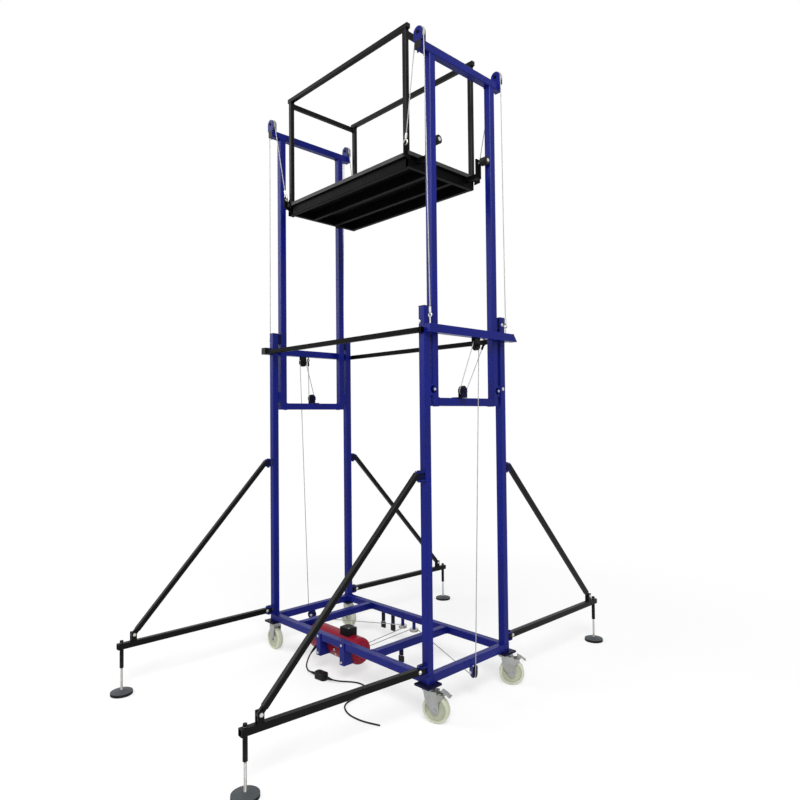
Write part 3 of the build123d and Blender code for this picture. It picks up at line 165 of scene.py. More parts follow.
print("the pen is ready")

# %% [markdown]
# ## Paint on steel tube
# The tubes are sprayed with a thick semi-gloss paint, ultramarine on the frame and masts, black on the
# platform, rails and outriggers. Small brackets, plates and pads get a nearly black navy, which is the blue
# paint darkened as painted shade. Sprayed paint has a fine orange-peel skin, thins at the edges and gathers
# pale scuffs where people handle it. A Bevel node finds the edges: near one, its rounded normal turns away
# from the face's own, and that difference, broken up by noise, is where the paint is worn.

# %% Paint
EDGE_REACH = 0.0022
DUST_TOP = 0.30


def paint(name, colour, worn, rough, wear, shine, coat):
    material, pen = new_finish(name)
    place = pen.node("ShaderNodeTexCoord", out="Object")
    normal = pen.node("ShaderNodeNewGeometry", out="Normal")
    rounded = pen.node("ShaderNodeBevel", {"samples": 4}, {"Radius": EDGE_REACH})
    turn = 1.0 - pen.vectors("DOT_PRODUCT", rounded, normal, out=1)
    patches = grain(pen, place, 34.0, 4.0)
    chips = turn.ease(0.03, 0.25) * patches.ease(0.52, 0.66) * wear
    stretched = pen.node("ShaderNodeMapping", {}, {"Vector": place, "Scale": (1.0, 1.0, 0.12)})
    streaks = grain(pen, stretched, 90.0, 3.0)
    cloud = grain(pen, place, 5.0, 3.0)
    height = pen.node("ShaderNodeSeparateXYZ", {}, {"Vector": place}, out="Z")
    dust = (1.0 - height.ease(0.0, DUST_TOP)) * cloud.ease(0.35, 0.75) * 0.05
    pale = [0.88 * c + 0.001 for c in colour[:3]] + [1.0]
    deep = [1.12 * c for c in colour[:3]] + [1.0]
    body = cloud.ease(0.3, 0.7).colours(pale, deep)
    scuffed = (streaks.ease(0.66, 0.80) * 0.12).colours(body, worn)
    dusty = dust.colours(scuffed, (0.32, 0.30, 0.27, 1.0))
    close_finish(
        pen,
        {
            "Base Color": chips.colours(dusty, worn),
            "Roughness": rough + 0.16 * streaks + 0.30 * dust + 0.20 * chips,
            "Specular IOR Level": shine,
            "Coat Weight": coat,
            "Coat Roughness": 0.18,
            "Normal": bump(pen, grain(pen, place, 420.0) + 0.35 * grain(pen, place, 60.0), 0.0006, 0.35),
        },
    )
    return material


blue_paint = paint("blue_paint", (0.002, 0.0055, 0.126, 1.0), (0.06, 0.07, 0.24, 1.0), 0.27, 1.0, 0.11, 0.02)
black_paint = paint("black_paint", (0.002, 0.002, 0.0021, 1.0), (0.07, 0.07, 0.07, 1.0), 0.28, 0.8, 0.09, 0.0)
dull_black = paint("dull_black", (0.0012, 0.0012, 0.0012, 1.0), (0.04, 0.04, 0.04, 1.0), 0.45, 0.5, 0.04, 0.0)
red_paint = paint("red_paint", (0.21, 0.003, 0.018, 1.0), (0.38, 0.10, 0.10, 1.0), 0.26, 0.6, 0.10, 0.02)
# A nearly black navy: the blue paint darkened as painted shade, for small brackets, plates and pads.
shaded_navy_paint = paint("shaded_navy_paint", (0.0012, 0.0018, 0.020, 1.0), (0.05, 0.05, 0.12, 1.0), 0.30, 0.6, 0.07, 0.0)
print("paints:", blue_paint.name, shaded_navy_paint.name, black_paint.name, dull_black.name, red_paint.name)

# %% [markdown]
# ## Bare metal
# Fork, bolts and sheaves are zinc plated. Plating shows faint crystals and a slight yellow bloom, and it is
# dull rather than mirror-like. The jack screws carry a rolled thread, which a wave along Z in the bump
# shows without thousands of faces. The wire rope is galvanised and greyer.

# %% Zinc, screw thread and wire
def plated(name, colour, bloom, rough, metal, pitch=None):
    material, pen = new_finish(name)
    place = pen.node("ShaderNodeTexCoord", out="Object")
    crystals = pen.node("ShaderNodeTexVoronoi", {}, {"Vector": place, "Scale": 260.0})
    cloud = grain(pen, place, 22.0, 3.0)
    scratches = grain(pen, pen.node("ShaderNodeMapping", {}, {"Vector": place, "Scale": (1, 1, 0.08)}), 700.0)
    if pitch:
        height = pen.node("ShaderNodeSeparateXYZ", {}, {"Vector": place}, out="Z")
        relief = bump(pen, pen.maths("PINGPONG", height, pitch / 2) * (2 / pitch), pitch / 2, 0.9)
    else:
        relief = bump(pen, grain(pen, place, 900.0) * 0.4, 0.0002, 0.25)
    close_finish(
        pen,
        {
            "Base Color": (cloud.ease(0.35, 0.72) * 0.7 + 0.3 * crystals).colours(colour, bloom),
            "Metallic": metal,
            "Roughness": rough + 0.14 * crystals + 0.12 * scratches,
            "Normal": relief,
        },
    )
    return material


zinc = plated("zinc_plate", (0.60, 0.61, 0.61, 1.0), (0.52, 0.50, 0.43, 1.0), 0.30, 0.92)
fork_zinc = plated("fork_zinc", (0.38, 0.39, 0.40, 1.0), (0.29, 0.285, 0.26, 1.0), 0.30, 0.92)
jack_thread = plated("jack_thread", (0.55, 0.56, 0.56, 1.0), (0.46, 0.45, 0.41, 1.0), 0.34, 0.95, 0.0025)
rope_wire = plated("rope_wire", (0.42, 0.42, 0.43, 1.0), (0.33, 0.33, 0.33, 1.0), 0.34, 0.70)
print("metals:", zinc.name, fork_zinc.name, jack_thread.name, rope_wire.name)

# %% [markdown]
# ## Nylon, rubber and board
# The wheels are cast nylon, pale green-grey with a little floor dirt; the dish between hub and rim gets a
# darker nylon as painted shade in the recess.
# The control, box, caps and cords are black plastic or rubber with a moulded grain. The deck is a film-faced
# board whose top is pressed with a fine wire mesh for grip, made here as two crossing waves in the bump,
# only where the face looks up.

# %% Plastics and deck
def moulded(name, colour, other, rough, dirt, fine=900.0, shine=0.4):
    material, pen = new_finish(name)
    place = pen.node("ShaderNodeTexCoord", out="Object")
    cloud = grain(pen, place, 14.0, 4.0)
    specks = grain(pen, place, 130.0, 3.0)
    body = cloud.ease(0.3, 0.7).colours(colour, other)
    soiled = (specks.ease(0.55, 0.75) * dirt).colours(body, (0.16, 0.14, 0.11, 1.0))
    close_finish(
        pen,
        {
            "Base Color": soiled,
            "Roughness": rough + 0.18 * specks,
            "Specular IOR Level": shine,
            "Normal": bump(pen, grain(pen, place, fine), 0.0003, 0.3),
        },
    )
    return material


cream_nylon = moulded("cream_nylon", (0.51, 0.53, 0.42, 1.0), (0.44, 0.46, 0.35, 1.0), 0.36, 0.30)
# A darker copy of the wheel nylon, used only as painted shade in the wheel's dish.
shaded_wheel_dish = moulded("shaded_wheel_dish", (0.38, 0.40, 0.30, 1.0), (0.31, 0.33, 0.245, 1.0), 0.40, 0.40)
black_nylon = moulded(
    "black_nylon", (0.004, 0.004, 0.0045, 1.0), (0.008, 0.008, 0.0085, 1.0), 0.36, 0.04, 900.0, 0.12
)
black_rubber = moulded(
    "black_rubber", (0.006, 0.006, 0.006, 1.0), (0.012, 0.011, 0.011, 1.0), 0.55, 0.08, 400.0, 0.12
)
# A paler slate grey for the up-facing faces of the black rubber foot pads: a painted highlight on their tops.
lit_pad_top = moulded("lit_pad_top", (0.055, 0.063, 0.070, 1.0), (0.045, 0.052, 0.058, 1.0), 0.45, 0.10, 500.0, 0.2)
green_cap = moulded("green_cap", (0.010, 0.030, 0.013, 1.0), (0.008, 0.024, 0.010, 1.0), 0.30, 0.0, 900.0, 0.15)
red_cap = moulded("red_cap", (0.045, 0.008, 0.008, 1.0), (0.036, 0.007, 0.007, 1.0), 0.30, 0.0, 900.0, 0.15)

MESH_PITCH = 0.006
PLY = 0.0014


def film_board_finish():
    material, pen = new_finish("film_board")
    place = pen.node("ShaderNodeTexCoord", out="Object")
    parts = pen.node("ShaderNodeSeparateXYZ", {}, {"Vector": place})
    x, y, z = (Wire(pen.tree, parts.socket.node.outputs[name]) for name in "XYZ")
    waves = [pen.maths("PINGPONG", v, MESH_PITCH / 2) * (2 / MESH_PITCH) for v in (x, y)]
    ridges = pen.maths("MAXIMUM", *waves)
    up = pen.node("ShaderNodeNewGeometry", out="Normal")
    lifted = Wire(pen.tree, pen.node("ShaderNodeSeparateXYZ", {}, {"Vector": up}).socket.node.outputs["Z"])
    top = lifted.ease(0.5, 0.9)
    plies = pen.maths("PINGPONG", z, PLY) * (1 / PLY)
    cloud = grain(pen, place, 7.0, 4.0)
    wear = grain(pen, place, 30.0, 4.0).ease(0.55, 0.75) * top * 0.5
    face = cloud.ease(0.3, 0.7).colours((0.003, 0.003, 0.0032, 1.0), (0.006, 0.006, 0.006, 1.0))
    # The side faces get a lighter grey than the black film faces: partly the board's bare edge, partly painted
    # light on the lit edge band.
    edge_with_painted_light = cloud.ease(0.3, 0.7).colours((0.030, 0.030, 0.031, 1.0), (0.045, 0.044, 0.043, 1.0))
    sides = 1.0 - pen.maths("ABSOLUTE", lifted).ease(0.3, 0.7)
    body = sides.colours(face, edge_with_painted_light)
    close_finish(
        pen,
        {
            "Base Color": wear.colours(body, (0.07, 0.062, 0.055, 1.0)),
            "Roughness": 0.40 + 0.25 * wear + 0.12 * cloud,
            "Specular IOR Level": 0.12,
            "Normal": bump(pen, ridges.ease(0.55, 0.95) * top + plies * (1.0 - top) * 0.4, 0.0009, 0.6),
        },
    )
    return material


film_board = film_board_finish()
print("plastics and deck ready")

# %% [markdown]
# ## Giving each solid its finish
# The frame's record says which finish each node has. Some nodes hold pieces of several finishes, such as a
# mast with its pins, end caps and sheave bracket. Each such mesh is split in thought into its separate
# solids, by following shared corners, and a solid whose size or place gives it away gets its own material
# slot. Where one solid has two colours, its faces are told apart in the same way: a wheel's dish gets a
# darker nylon as painted shade, and a jack has a black head and a paler grey on its foot pad's top as a
# painted highlight.

# %% Finishes on the solids
finish_of = {
    "blue_paint": blue_paint,
    "black_paint": black_paint,
    "zinc": zinc,
    "bright_rope": rope_wire,
    "cream_nylon": cream_nylon,
    "black_nylon": black_nylon,
    "red_paint": red_paint,
    "film_board": film_board,
    "black_rubber": black_rubber,
    "green_button": green_cap,
    "red_button": red_cap,
}
for entry in frame["record"]["subparts"]:
    mesh = nodes[entry["node"]].data
    mesh.materials.clear()
    mesh.materials.append(finish_of[entry["material_slot"]])


def solids_of(piece):
    """For each separate solid of a node: its face numbers, its size and its centre."""
    mesh = piece.data
    places = np.array([v.co for v in mesh.vertices]).round(6)
    _, corner = np.unique(places, axis=0, return_inverse=True)
    corner = corner.reshape(-1)
    leader = list(range(corner.max() + 1))

    def find(i):
        while leader[i] != i:
            leader[i] = leader[leader[i]]
            i = leader[i]
        return i

    for face in mesh.polygons:
        first, *others = [find(corner[v]) for v in face.vertices]
        for other in others:
            leader[find(other)] = find(first)
    groups = {}
    for face in mesh.polygons:
        groups.setdefault(find(corner[face.vertices[0]]), []).append(face.index)
    for faces in groups.values():
        used = places[[v for f in faces for v in mesh.polygons[f].vertices]]
        yield faces, used.max(0) - used.min(0), (used.max(0) + used.min(0)) / 2


def refinish(node, material, test):
    """Give another finish to the solids of a node whose size and centre pass the test."""
    mesh = nodes[node].data
    mesh.materials.append(material)
    slot = len(mesh.materials) - 1
    count = 0
    for faces, size, centre in solids_of(nodes[node]):
        if test(size, centre):
            count += 1
            for f in faces:
                mesh.polygons[f].material_index = slot
    print(f"{node}: {count} solids in {material.name}")


def repaint(node, material, test):
    """Give another finish to the faces of a node whose centre and normal pass the test."""
    mesh = nodes[node].data
    mesh.materials.append(material)
    slot = len(mesh.materials) - 1
    faces = [face for face in mesh.polygons if test(face.center, face.normal)]
    for face in faces:
        face.material_index = slot
    print(f"{node}: {len(faces)} faces in {material.name}")


CORNERS = ("front_right", "back_right", "front_left", "back_left")
CAP_SIDE, PIN_SIDE = 0.0035, 0.040
BASE_TOP, BEAM_LOW, BEAM_HIGH = 0.25, 1.8, 1.87
MAST_FOOT, MAST_HEAD = 1.62, 3.1
DISH_LOW, DISH_HIGH = 0.0115, 0.0135
FOOT_TOP, JACK_HEAD = 0.03, 0.2638
for corner_name in CORNERS[:2]:
    nodes[f"brake_pedal_{corner_name}"].data.materials[0] = fork_zinc
for side in ("right", "left"):
    refinish(f"{side}_mast", dull_black, lambda size, centre: sorted(size)[1] < 0.017 and max(size) < 0.045)
    refinish(f"{side}_mast", black_nylon, lambda size, centre: size[1] < CAP_SIDE and centre[2] > MAST_HEAD)
    # Small solids near the middle of each mast's foot get the navy: blue darkened as painted shade.
    refinish(
        f"{side}_mast",
        shaded_navy_paint,
        lambda size, centre: size[2] < 0.1 and abs(centre[1]) < 0.15 and centre[2] < MAST_FOOT,
    )
for node in ("platform_frame", "tie_bars"):
    nodes[node].data.materials[0] = dull_black
nodes["outrigger_hinges"].data.materials[0] = blue_paint
# The stop feet get the navy: painted shade.
nodes["stop_feet"].data.materials[0] = shaded_navy_paint
refinish("platform_frame", zinc, lambda size, centre: sorted(size)[1] < 0.034 and centre[2] > 2.74)
refinish("outrigger_hinges", black_paint, lambda size, centre: size[2] > 0.03)
# The caster mount plates under the base get the navy: blue plates darkened as painted shade.
refinish("base_frame", shaded_navy_paint, lambda size, centre: centre[2] < 0.17)
refinish("sheave_brackets", blue_paint, lambda size, centre: centre[2] < BASE_TOP)
refinish("stop_feet", zinc, lambda size, centre: max(size[:2]) < 0.012)
refinish("stop_feet", black_rubber, lambda size, centre: 0.030 < size[0] < 0.034)
refinish("nylon_pads_and_caps", blue_paint, lambda size, centre: centre[2] < BASE_TOP)
# The pads just above the top beams get the navy: painted shade.
refinish("nylon_pads_and_caps", shaded_navy_paint, lambda size, centre: BEAM_HIGH < centre[2] < 1.935)
refinish(
    "nylon_pads_and_caps",
    blue_paint,
    lambda size, centre: size[1] < CAP_SIDE and BEAM_LOW < centre[2] < BEAM_HIGH and centre[0] * centre[1] < 0,
)
refinish("bolts_and_anchors", dull_black, lambda size, centre: 1.75 < centre[2] < 1.84)
for corner_name in CORNERS:
    nodes[f"caster_fork_{corner_name}"].data.materials[0] = fork_zinc
    _, _, hub = next(solids_of(nodes[f"caster_wheel_{corner_name}"]))
    middle = Vector(hub)
    # The faces in the dish between hub and rim get the darker nylon: painted shade in the recess.
    repaint(
        f"caster_wheel_{corner_name}",
        shaded_wheel_dish,
        lambda centre, normal: DISH_LOW < abs((centre - middle).dot(normal)) < DISH_HIGH,
    )
    outrigger, jack = f"outrigger_{corner_name}", f"jack_{corner_name}"
    refinish(outrigger, zinc, lambda size, centre: max(size) < PIN_SIDE)
    # Small outrigger solids above 0.9 m get the navy: painted shade.
    refinish(outrigger, shaded_navy_paint, lambda size, centre: max(size) < PIN_SIDE and centre[2] > 0.9)
    refinish(jack, black_rubber, lambda size, centre: size[0] > 0.1)
    refinish(jack, jack_thread, lambda size, centre: size[0] < 0.1)
    # The up-facing faces of each rubber foot pad get the paler grey: a painted highlight.
    repaint(jack, lit_pad_top, lambda centre, normal: normal[2] > 0.7 and centre[2] < FOOT_TOP)
    repaint(jack, black_paint, lambda centre, normal: centre[2] > JACK_HEAD)

# %% [markdown]
# ## The camera
# The photograph was taken from shoulder height near the front right corner, with a wide lens. The values come
# from fitting the lift's straight edges: where the camera stood, how it was turned, and its focal length.

# %% Camera
PHOTO_SIDE = 800
FOCAL_PIXELS = 630.1
CAMERA_AT = (2.7242, -2.4294, 1.4252)
yaw, pitch, roll = (math.radians(v) for v in (43.646, 1.426, -0.553))
ahead = Vector((-math.cos(yaw) * math.cos(pitch), math.sin(yaw) * math.cos(pitch), math.sin(pitch)))
level = Vector((math.sin(yaw), math.cos(yaw), 0.0))
above = level.cross(ahead)
across = level * math.cos(roll) + above * math.sin(roll)
upward = above * math.cos(roll) - level * math.sin(roll)
lens = bpy.data.cameras.new("photo_camera")
lens.sensor_width = 36.0
lens.lens = lens.sensor_width * FOCAL_PIXELS / PHOTO_SIDE
camera = bpy.data.objects.new("photo_camera", lens)
turned = Matrix((across, upward, -ahead)).transposed().to_4x4()
camera.matrix_world = Matrix.Translation(CAMERA_AT) @ turned
bpy.context.scene.collection.objects.link(camera)
bpy.context.scene.camera = camera
print(f"lens {lens.lens:.2f} mm")

# %% [markdown]
# ## The two cords
# A control cord leaves a gland under the motor and drops to the hand control on the floor; a second cord
# goes on from there and ends bare. Cords bend smoothly, so each is a NURBS line through the route, straight
# out of its gland at both ends, with a round bevel. Its order and end setting go in after its points.

# %% Cords
CORD_R = 0.004
CORD_LEAD = 0.030
ON_FLOOR = 0.0046
WINCH_Y, WINCH_Z, WINCH_R = -0.192, 0.138, 0.072
GLAND, CONTROL_HALF = 0.018, 0.040


def add_piece(piece):
    bpy.context.scene.collection.objects.link(piece)
    return piece


def plain_piece(name, mesh, material):
    """Turn an edited mesh into a piece with one finish."""
    data = bpy.data.meshes.new(name)
    mesh.to_mesh(data)
    mesh.free()
    data.materials.append(material)
    return add_piece(bpy.data.objects.new(name, data))


def cord(name, points, material):
    line = bpy.data.curves.new(name, "CURVE")
    line.dimensions = "3D"
    spline = line.splines.new("NURBS")
    spline.points.add(len(points) - 1)
    for knot, place in zip(spline.points, points):
        knot.co = (*place, 1.0)
    spline.order_u = 3
    spline.use_endpoint_u = True
    spline.resolution_u = 10
    line.bevel_depth = CORD_R
    line.bevel_resolution = 5
    line.use_fill_caps = True
    line.materials.append(material)
    return add_piece(bpy.data.objects.new(name, line))


motor_axis = Vector((-0.290, WINCH_Y, WINCH_Z))
gland_turn = math.radians(219.0)
gland_way = Vector((0.0, math.cos(gland_turn), math.sin(gland_turn)))
gland_tip = motor_axis + gland_way * (WINCH_R + GLAND)
control_turn = math.radians(6.0)
control_way = Vector((math.cos(control_turn), math.sin(control_turn), 0.0))
control_at = Vector((-0.086, -0.360, 0.016))
control_exit = CONTROL_HALF + GLAND
left_exit = control_at - control_way * control_exit
right_exit = control_at + control_way * control_exit
control_route = [
    gland_tip,
    gland_tip + gland_way * CORD_LEAD,
    (-0.296, -0.300, 0.032),
    (-0.276, -0.326, 0.009),
    (-0.236, -0.346, 0.005),
    (-0.204, -0.360, 0.009),
    left_exit - control_way * CORD_LEAD,
    left_exit,
]
supply_route = [
    right_exit,
    right_exit + control_way * CORD_LEAD,
    (0.030, -0.322, 0.009),
    (0.062, -0.282, ON_FLOOR),
    (0.104, -0.258, ON_FLOOR),
    (0.152, -0.256, ON_FLOOR),
    (0.200, -0.276, ON_FLOOR),
    (0.230, -0.322, ON_FLOOR),
    (0.236, -0.380, ON_FLOOR),
    (0.240, -0.436, ON_FLOOR),
    (0.258, -0.474, ON_FLOOR),
    (0.296, -0.502, ON_FLOOR),
    (0.346, -0.520, ON_FLOOR),
    (0.402, -0.522, ON_FLOOR),
    (0.464, -0.513, ON_FLOOR),
    (0.531, -0.485, ON_FLOOR),
]
control_cord = cord("control_lead", control_route, black_rubber)
supply_cord = cord("supply_lead", supply_route, black_rubber)
for piece, node in ((control_cord, "control_cord"), (supply_cord, "supply_cord")):
    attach(piece, "base")
    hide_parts(node)
print("cords laid")

# %% [markdown]
# ## Boots on the cords
# Where a cord leaves a gland, a tapered rubber boot with grooves keeps it from kinking. Each is a
# ring profile spun about its cord's straight lead: ridges that shrink away from the housing.

# %% Strain-relief boots
def spun(name, profile, start, way, material, steps=24):
    """A closed solid of revolution: (distance along, radius) pairs about a line from a point."""
    frame_of = way.to_track_quat("Z", "Y").to_matrix()
    mesh = bmesh.new()
    rings = []
    for along, radius in profile:
        ring = []
        for i in range(steps):
            angle = 2 * math.pi * i / steps
            local = Vector((radius * math.cos(angle), radius * math.sin(angle), along))
            ring.append(mesh.verts.new(start + frame_of @ local))
        rings.append(ring)
    for low, high in zip(rings, rings[1:]):
        for i in range(steps):
            j = (i + 1) % steps
            mesh.faces.new((low[i], low[j], high[j], high[i]))
    mesh.faces.new(list(reversed(rings[0])))
    mesh.faces.new(rings[-1])
    piece = plain_piece(name, mesh, material)
    for face in piece.data.polygons:
        face.use_smooth = len(face.vertices) == 4
    return piece


BOOT_RIDGES = 5
BOOT_LENGTH = 0.026
BOOT_ROOT = 0.0072


def boot_profile():
    """Ridges and grooves that taper from the root radius to just over the cord."""
    tip = CORD_R + 0.0012
    pitch = BOOT_LENGTH / BOOT_RIDGES
    pairs = [(-0.001, BOOT_ROOT)]
    for i in range(BOOT_RIDGES):
        ridge = BOOT_ROOT + (tip - BOOT_ROOT) * i / (BOOT_RIDGES - 1)
        groove = max(ridge - 0.0010, CORD_R + 0.0004)
        pairs += [(pitch * i, ridge), (pitch * (i + 0.55), ridge), (pitch * (i + 0.65), groove)]
        pairs += [(pitch * (i + 0.95), groove)]
    return pairs


leads = (
    ("gland_boot", gland_tip, gland_way),
    ("control_left_boot", left_exit, -control_way),
    ("control_right_boot", right_exit, control_way),
)
for name, start, way in leads:
    boot = spun(name, boot_profile(), start, way, black_rubber)
    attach(boot, "base")
print("boots:", len(leads))

# %% [markdown]
# ## Laid wire rope
# Six strands wind round each other. Modelling that by hand is slow, but it follows a rule: copy the rope's
# line six times and push each copy out, turning with the distance along the line. A node tree does just
# that, with the radius, the lay and the step as named inputs. The lines themselves come from the sheaves:
# straight between them, round where they turn.

# %% The rope tree
def new_tree(name, inputs):
    """A geometry tree with named inputs, a pen, and its input wires by name."""
    tree = bpy.data.node_groups.new(name, "GeometryNodeTree")
    tree.interface.new_socket("Geometry", in_out="INPUT", socket_type="NodeSocketGeometry")
    tree.interface.new_socket("Geometry", in_out="OUTPUT", socket_type="NodeSocketGeometry")
    for label, kind in inputs:
        tree.interface.new_socket(label, in_out="INPUT", socket_type=kind)
    pen = Wire(tree)
    entry = tree.nodes.new("NodeGroupInput")
    return tree, pen, {s.name: Wire(tree, s) for s in entry.outputs if s.name}


def end_tree(pen, shape, material):
    """Every tree ends in plain faces with a finish."""
    real = pen.node("GeometryNodeRealizeInstances", {}, {"Geometry": shape})
    done = pen.node("GeometryNodeSetMaterial", {}, {"Geometry": real, "Material": material})
    pen.node("NodeGroupOutput", {}, {0: done})


def rope_tree():
    tree, pen, given = new_tree(
        "laid_rope",
        [
            ("Radius", "NodeSocketFloat"),
            ("Lay", "NodeSocketFloat"),
            ("Step", "NodeSocketFloat"),
            ("Finish", "NodeSocketMaterial"),
        ],
    )
    strands = 6
    line = pen.node(
        "GeometryNodeResampleCurve", {"mode": "LENGTH"}, {"Curve": given["Geometry"], "Length": given["Step"]}
    )
    line = pen.node("GeometryNodeSetCurveNormal", {"mode": "MINIMUM_TWIST"}, {"Curve": line})
    copies = pen.node(
        "GeometryNodeDuplicateElements", {"domain": "SPLINE"}, {"Geometry": line, "Amount": strands}
    )
    number = Wire(tree, copies.socket.node.outputs["Duplicate Index"])
    along = pen.node("GeometryNodeSplineParameter", out="Length")
    turn = (along / given["Lay"] + number / strands) * (2 * math.pi)
    normal = pen.node("GeometryNodeInputNormal")
    tangent = pen.node("GeometryNodeInputTangent")
    binormal = pen.vectors("CROSS_PRODUCT", tangent, normal)
    reach = given["Radius"] * (2 / 3)
    out_a = pen.node(
        "ShaderNodeVectorMath", {"operation": "SCALE"}, {0: normal, "Scale": pen.maths("COSINE", turn) * reach}
    )
    out_b = pen.node(
        "ShaderNodeVectorMath", {"operation": "SCALE"}, {0: binormal, "Scale": pen.maths("SINE", turn) * reach}
    )
    moved = pen.node(
        "GeometryNodeSetPosition", {}, {"Geometry": copies, "Offset": pen.vectors("ADD", out_a, out_b)}
    )
    ring = pen.node("GeometryNodeCurvePrimitiveCircle", {}, {"Resolution": 6, "Radius": given["Radius"] / 3})
    tube = pen.node(
        "GeometryNodeCurveToMesh", {}, {"Curve": moved, "Profile Curve": ring, "Fill Caps": True}
    )
    smooth = pen.node("GeometryNodeSetShadeSmooth", {}, {"Geometry": tube, "Shade Smooth": True})
    end_tree(pen, smooth, given["Finish"])
    return tree


def grown(name, source, tree, values):
    """Run a tree on an object, keep the plain mesh and drop the source."""
    add_piece(source)
    modifier = source.modifiers.new("grow", "NODES")
    modifier.node_group = tree
    for item in tree.interface.items_tree:
        if item.in_out == "INPUT" and item.name in values:
            modifier[item.identifier] = values[item.name]
    bpy.context.view_layer.update()
    seen = bpy.context.evaluated_depsgraph_get()
    mesh = bpy.data.meshes.new_from_object(source.evaluated_get(seen))
    mesh.name = name
    bpy.data.objects.remove(source)
    print(f"{name}: {len(mesh.polygons)} faces")
    return add_piece(bpy.data.objects.new(name, mesh))


ROPE_R, ROPE_LAY, ROPE_STEP = 0.0025, 0.042, 0.004
laid_rope = rope_tree()


def rope(name, lines):
    """Laid rope along some lines of points."""
    data = bpy.data.curves.new(name + "_lines", "CURVE")
    data.dimensions = "3D"
    for points in lines:
        spline = data.splines.new("POLY")
        spline.points.add(len(points) - 1)
        for knot, place in zip(spline.points, points):
            knot.co = (*place, 1.0)
    source = bpy.data.objects.new(name + "_lines", data)
    values = {"Radius": ROPE_R, "Lay": ROPE_LAY, "Step": ROPE_STEP, "Finish": rope_wire}
    piece = grown(name, source, laid_rope, values)
    return piece


print("rope tree ready")

# %% [markdown]
# ## Where the ropes run
# From the drum each lift rope goes to a sheave under the back tube, across to one under its end tube, up
# outside the portal and over a block, then down round the mast's sheave and back to an eye. Four more
# ropes start at eyes on the portals, pass over the mast heads and hold the deck. As the masts sink, some
# ropes grow and others shorten, so these are separate pieces.

# %% Lines of the ropes
SHEAVE_R = 0.0225
HEAD_R = 0.027
ARC_STEPS = 14
POST_X, POST_Y, MAST_X = 0.6525, 0.290, 0.6495


def arc(centre, radius, first, last, flat, rise):
    """Points round a sheave between two angles."""
    points = []
    for i in range(ARC_STEPS + 1):
        angle = first + (last - first) * i / ARC_STEPS
        points.append(centre + flat * (radius * math.cos(angle)) + rise * (radius * math.sin(angle)))
    return points


def touch(point, centre, radius, side):
    """Where a line from a point touches a circle, both flat (2-D)."""
    away = centre - point
    swing = side * math.asin(radius / away.length)
    turned = Matrix.Rotation(swing, 2) @ away.normalized()
    return point + turned * math.sqrt(away.length**2 - radius**2)


def half_turned(points):
    return [Vector((-p.x, -p.y, p.z)) for p in points]


X, Y, Z = Vector((1, 0, 0)), Vector((0, 1, 0)), Vector((0, 0, 1))
ROPE_Z = 0.118
LIFT_X, FOOT_Y = 0.687, 0.0133
BLOCK = Vector((LIFT_X, 0.049, 1.778))
DEAD_END = Vector((0.676, 0.0, 1.794))
FERRULE, EYE_R, LINK_R = 0.026, 0.0125, 0.016
DRUM_X = {"right": -0.012, "left": -0.044}
TURN_X, TURN_Y = {"right": -0.033, "left": -0.132}, 0.300
LEAD_IN = 0.008


def angle_of(flat):
    return math.atan2(flat.y, flat.x)


def fall_line(sheave_y, dead_y):
    """The falls of one side before any half turn, and the angle at which they leave the block."""
    sheave = Vector((LIFT_X, sheave_y, 1.544))
    run = sheave - BLOCK
    off = Vector((0.0, run.z, -run.y)).normalized() * SHEAVE_R
    leaves = math.atan2(off.z, off.y)
    eye = DEAD_END + Y * dead_y
    centre = Vector((sheave.y, sheave.z))
    meet = touch(Vector((eye.y, eye.z)), centre, SHEAVE_R, 1)
    back = (Vector((LIFT_X, meet.x, meet.y)) - eye).normalized()
    line = [BLOCK + off] + arc(sheave, SHEAVE_R, leaves, 2 * math.pi + angle_of(meet - centre), Y, Z)
    return line + [eye + back * (EYE_R + FERRULE)], leaves


right_fall, right_leaves = fall_line(-0.0575, 0.128)
left_fall, left_leaves = fall_line(-0.020, 0.015)


def lift_line(side, way, leaves):
    """One lift rope from the drum to where it leaves its block, way 1 for the right side."""
    drum, turn = Vector((DRUM_X[side], WINCH_Y)), Vector((TURN_X[side], TURN_Y))
    foot = Vector((way * LIFT_X, way * FOOT_Y))
    first, second = touch(drum, turn, SHEAVE_R, way), touch(foot, turn, SHEAVE_R, -way)
    a, b = angle_of(first - turn), angle_of(second - turn)
    while way * (b - a) > 0:
        b -= way * 2 * math.pi
    start = drum + (first - drum).normalized() * LEAD_IN
    corner = foot.to_3d() + Z * ROPE_Z
    onward = (foot - second).normalized().to_3d()
    meet = touch(Vector((way * FOOT_Y, ROPE_Z)), Vector((way * BLOCK.y, BLOCK.z)), SHEAVE_R, -way)
    rise = (Vector((way * LIFT_X, meet.x, meet.y)) - corner).normalized()
    spread = math.acos(-onward.dot(rise))
    base = corner + (rise - onward).normalized() * (SHEAVE_R / math.sin(spread / 2))
    outward = onward.cross(rise).normalized()
    down = outward.cross(onward) * -1
    points = [start.to_3d() + Z * ROPE_Z]
    points += arc(turn.to_3d() + Z * ROPE_Z, SHEAVE_R, a, b, X, Y)
    points += arc(base, SHEAVE_R, 0.0, math.pi - spread, down, onward)
    top = arc(BLOCK, SHEAVE_R, angle_of(Vector((way * meet.x - BLOCK.y, meet.y - BLOCK.z))), leaves, Y, Z)
    return points + (top if way > 0 else half_turned(top))


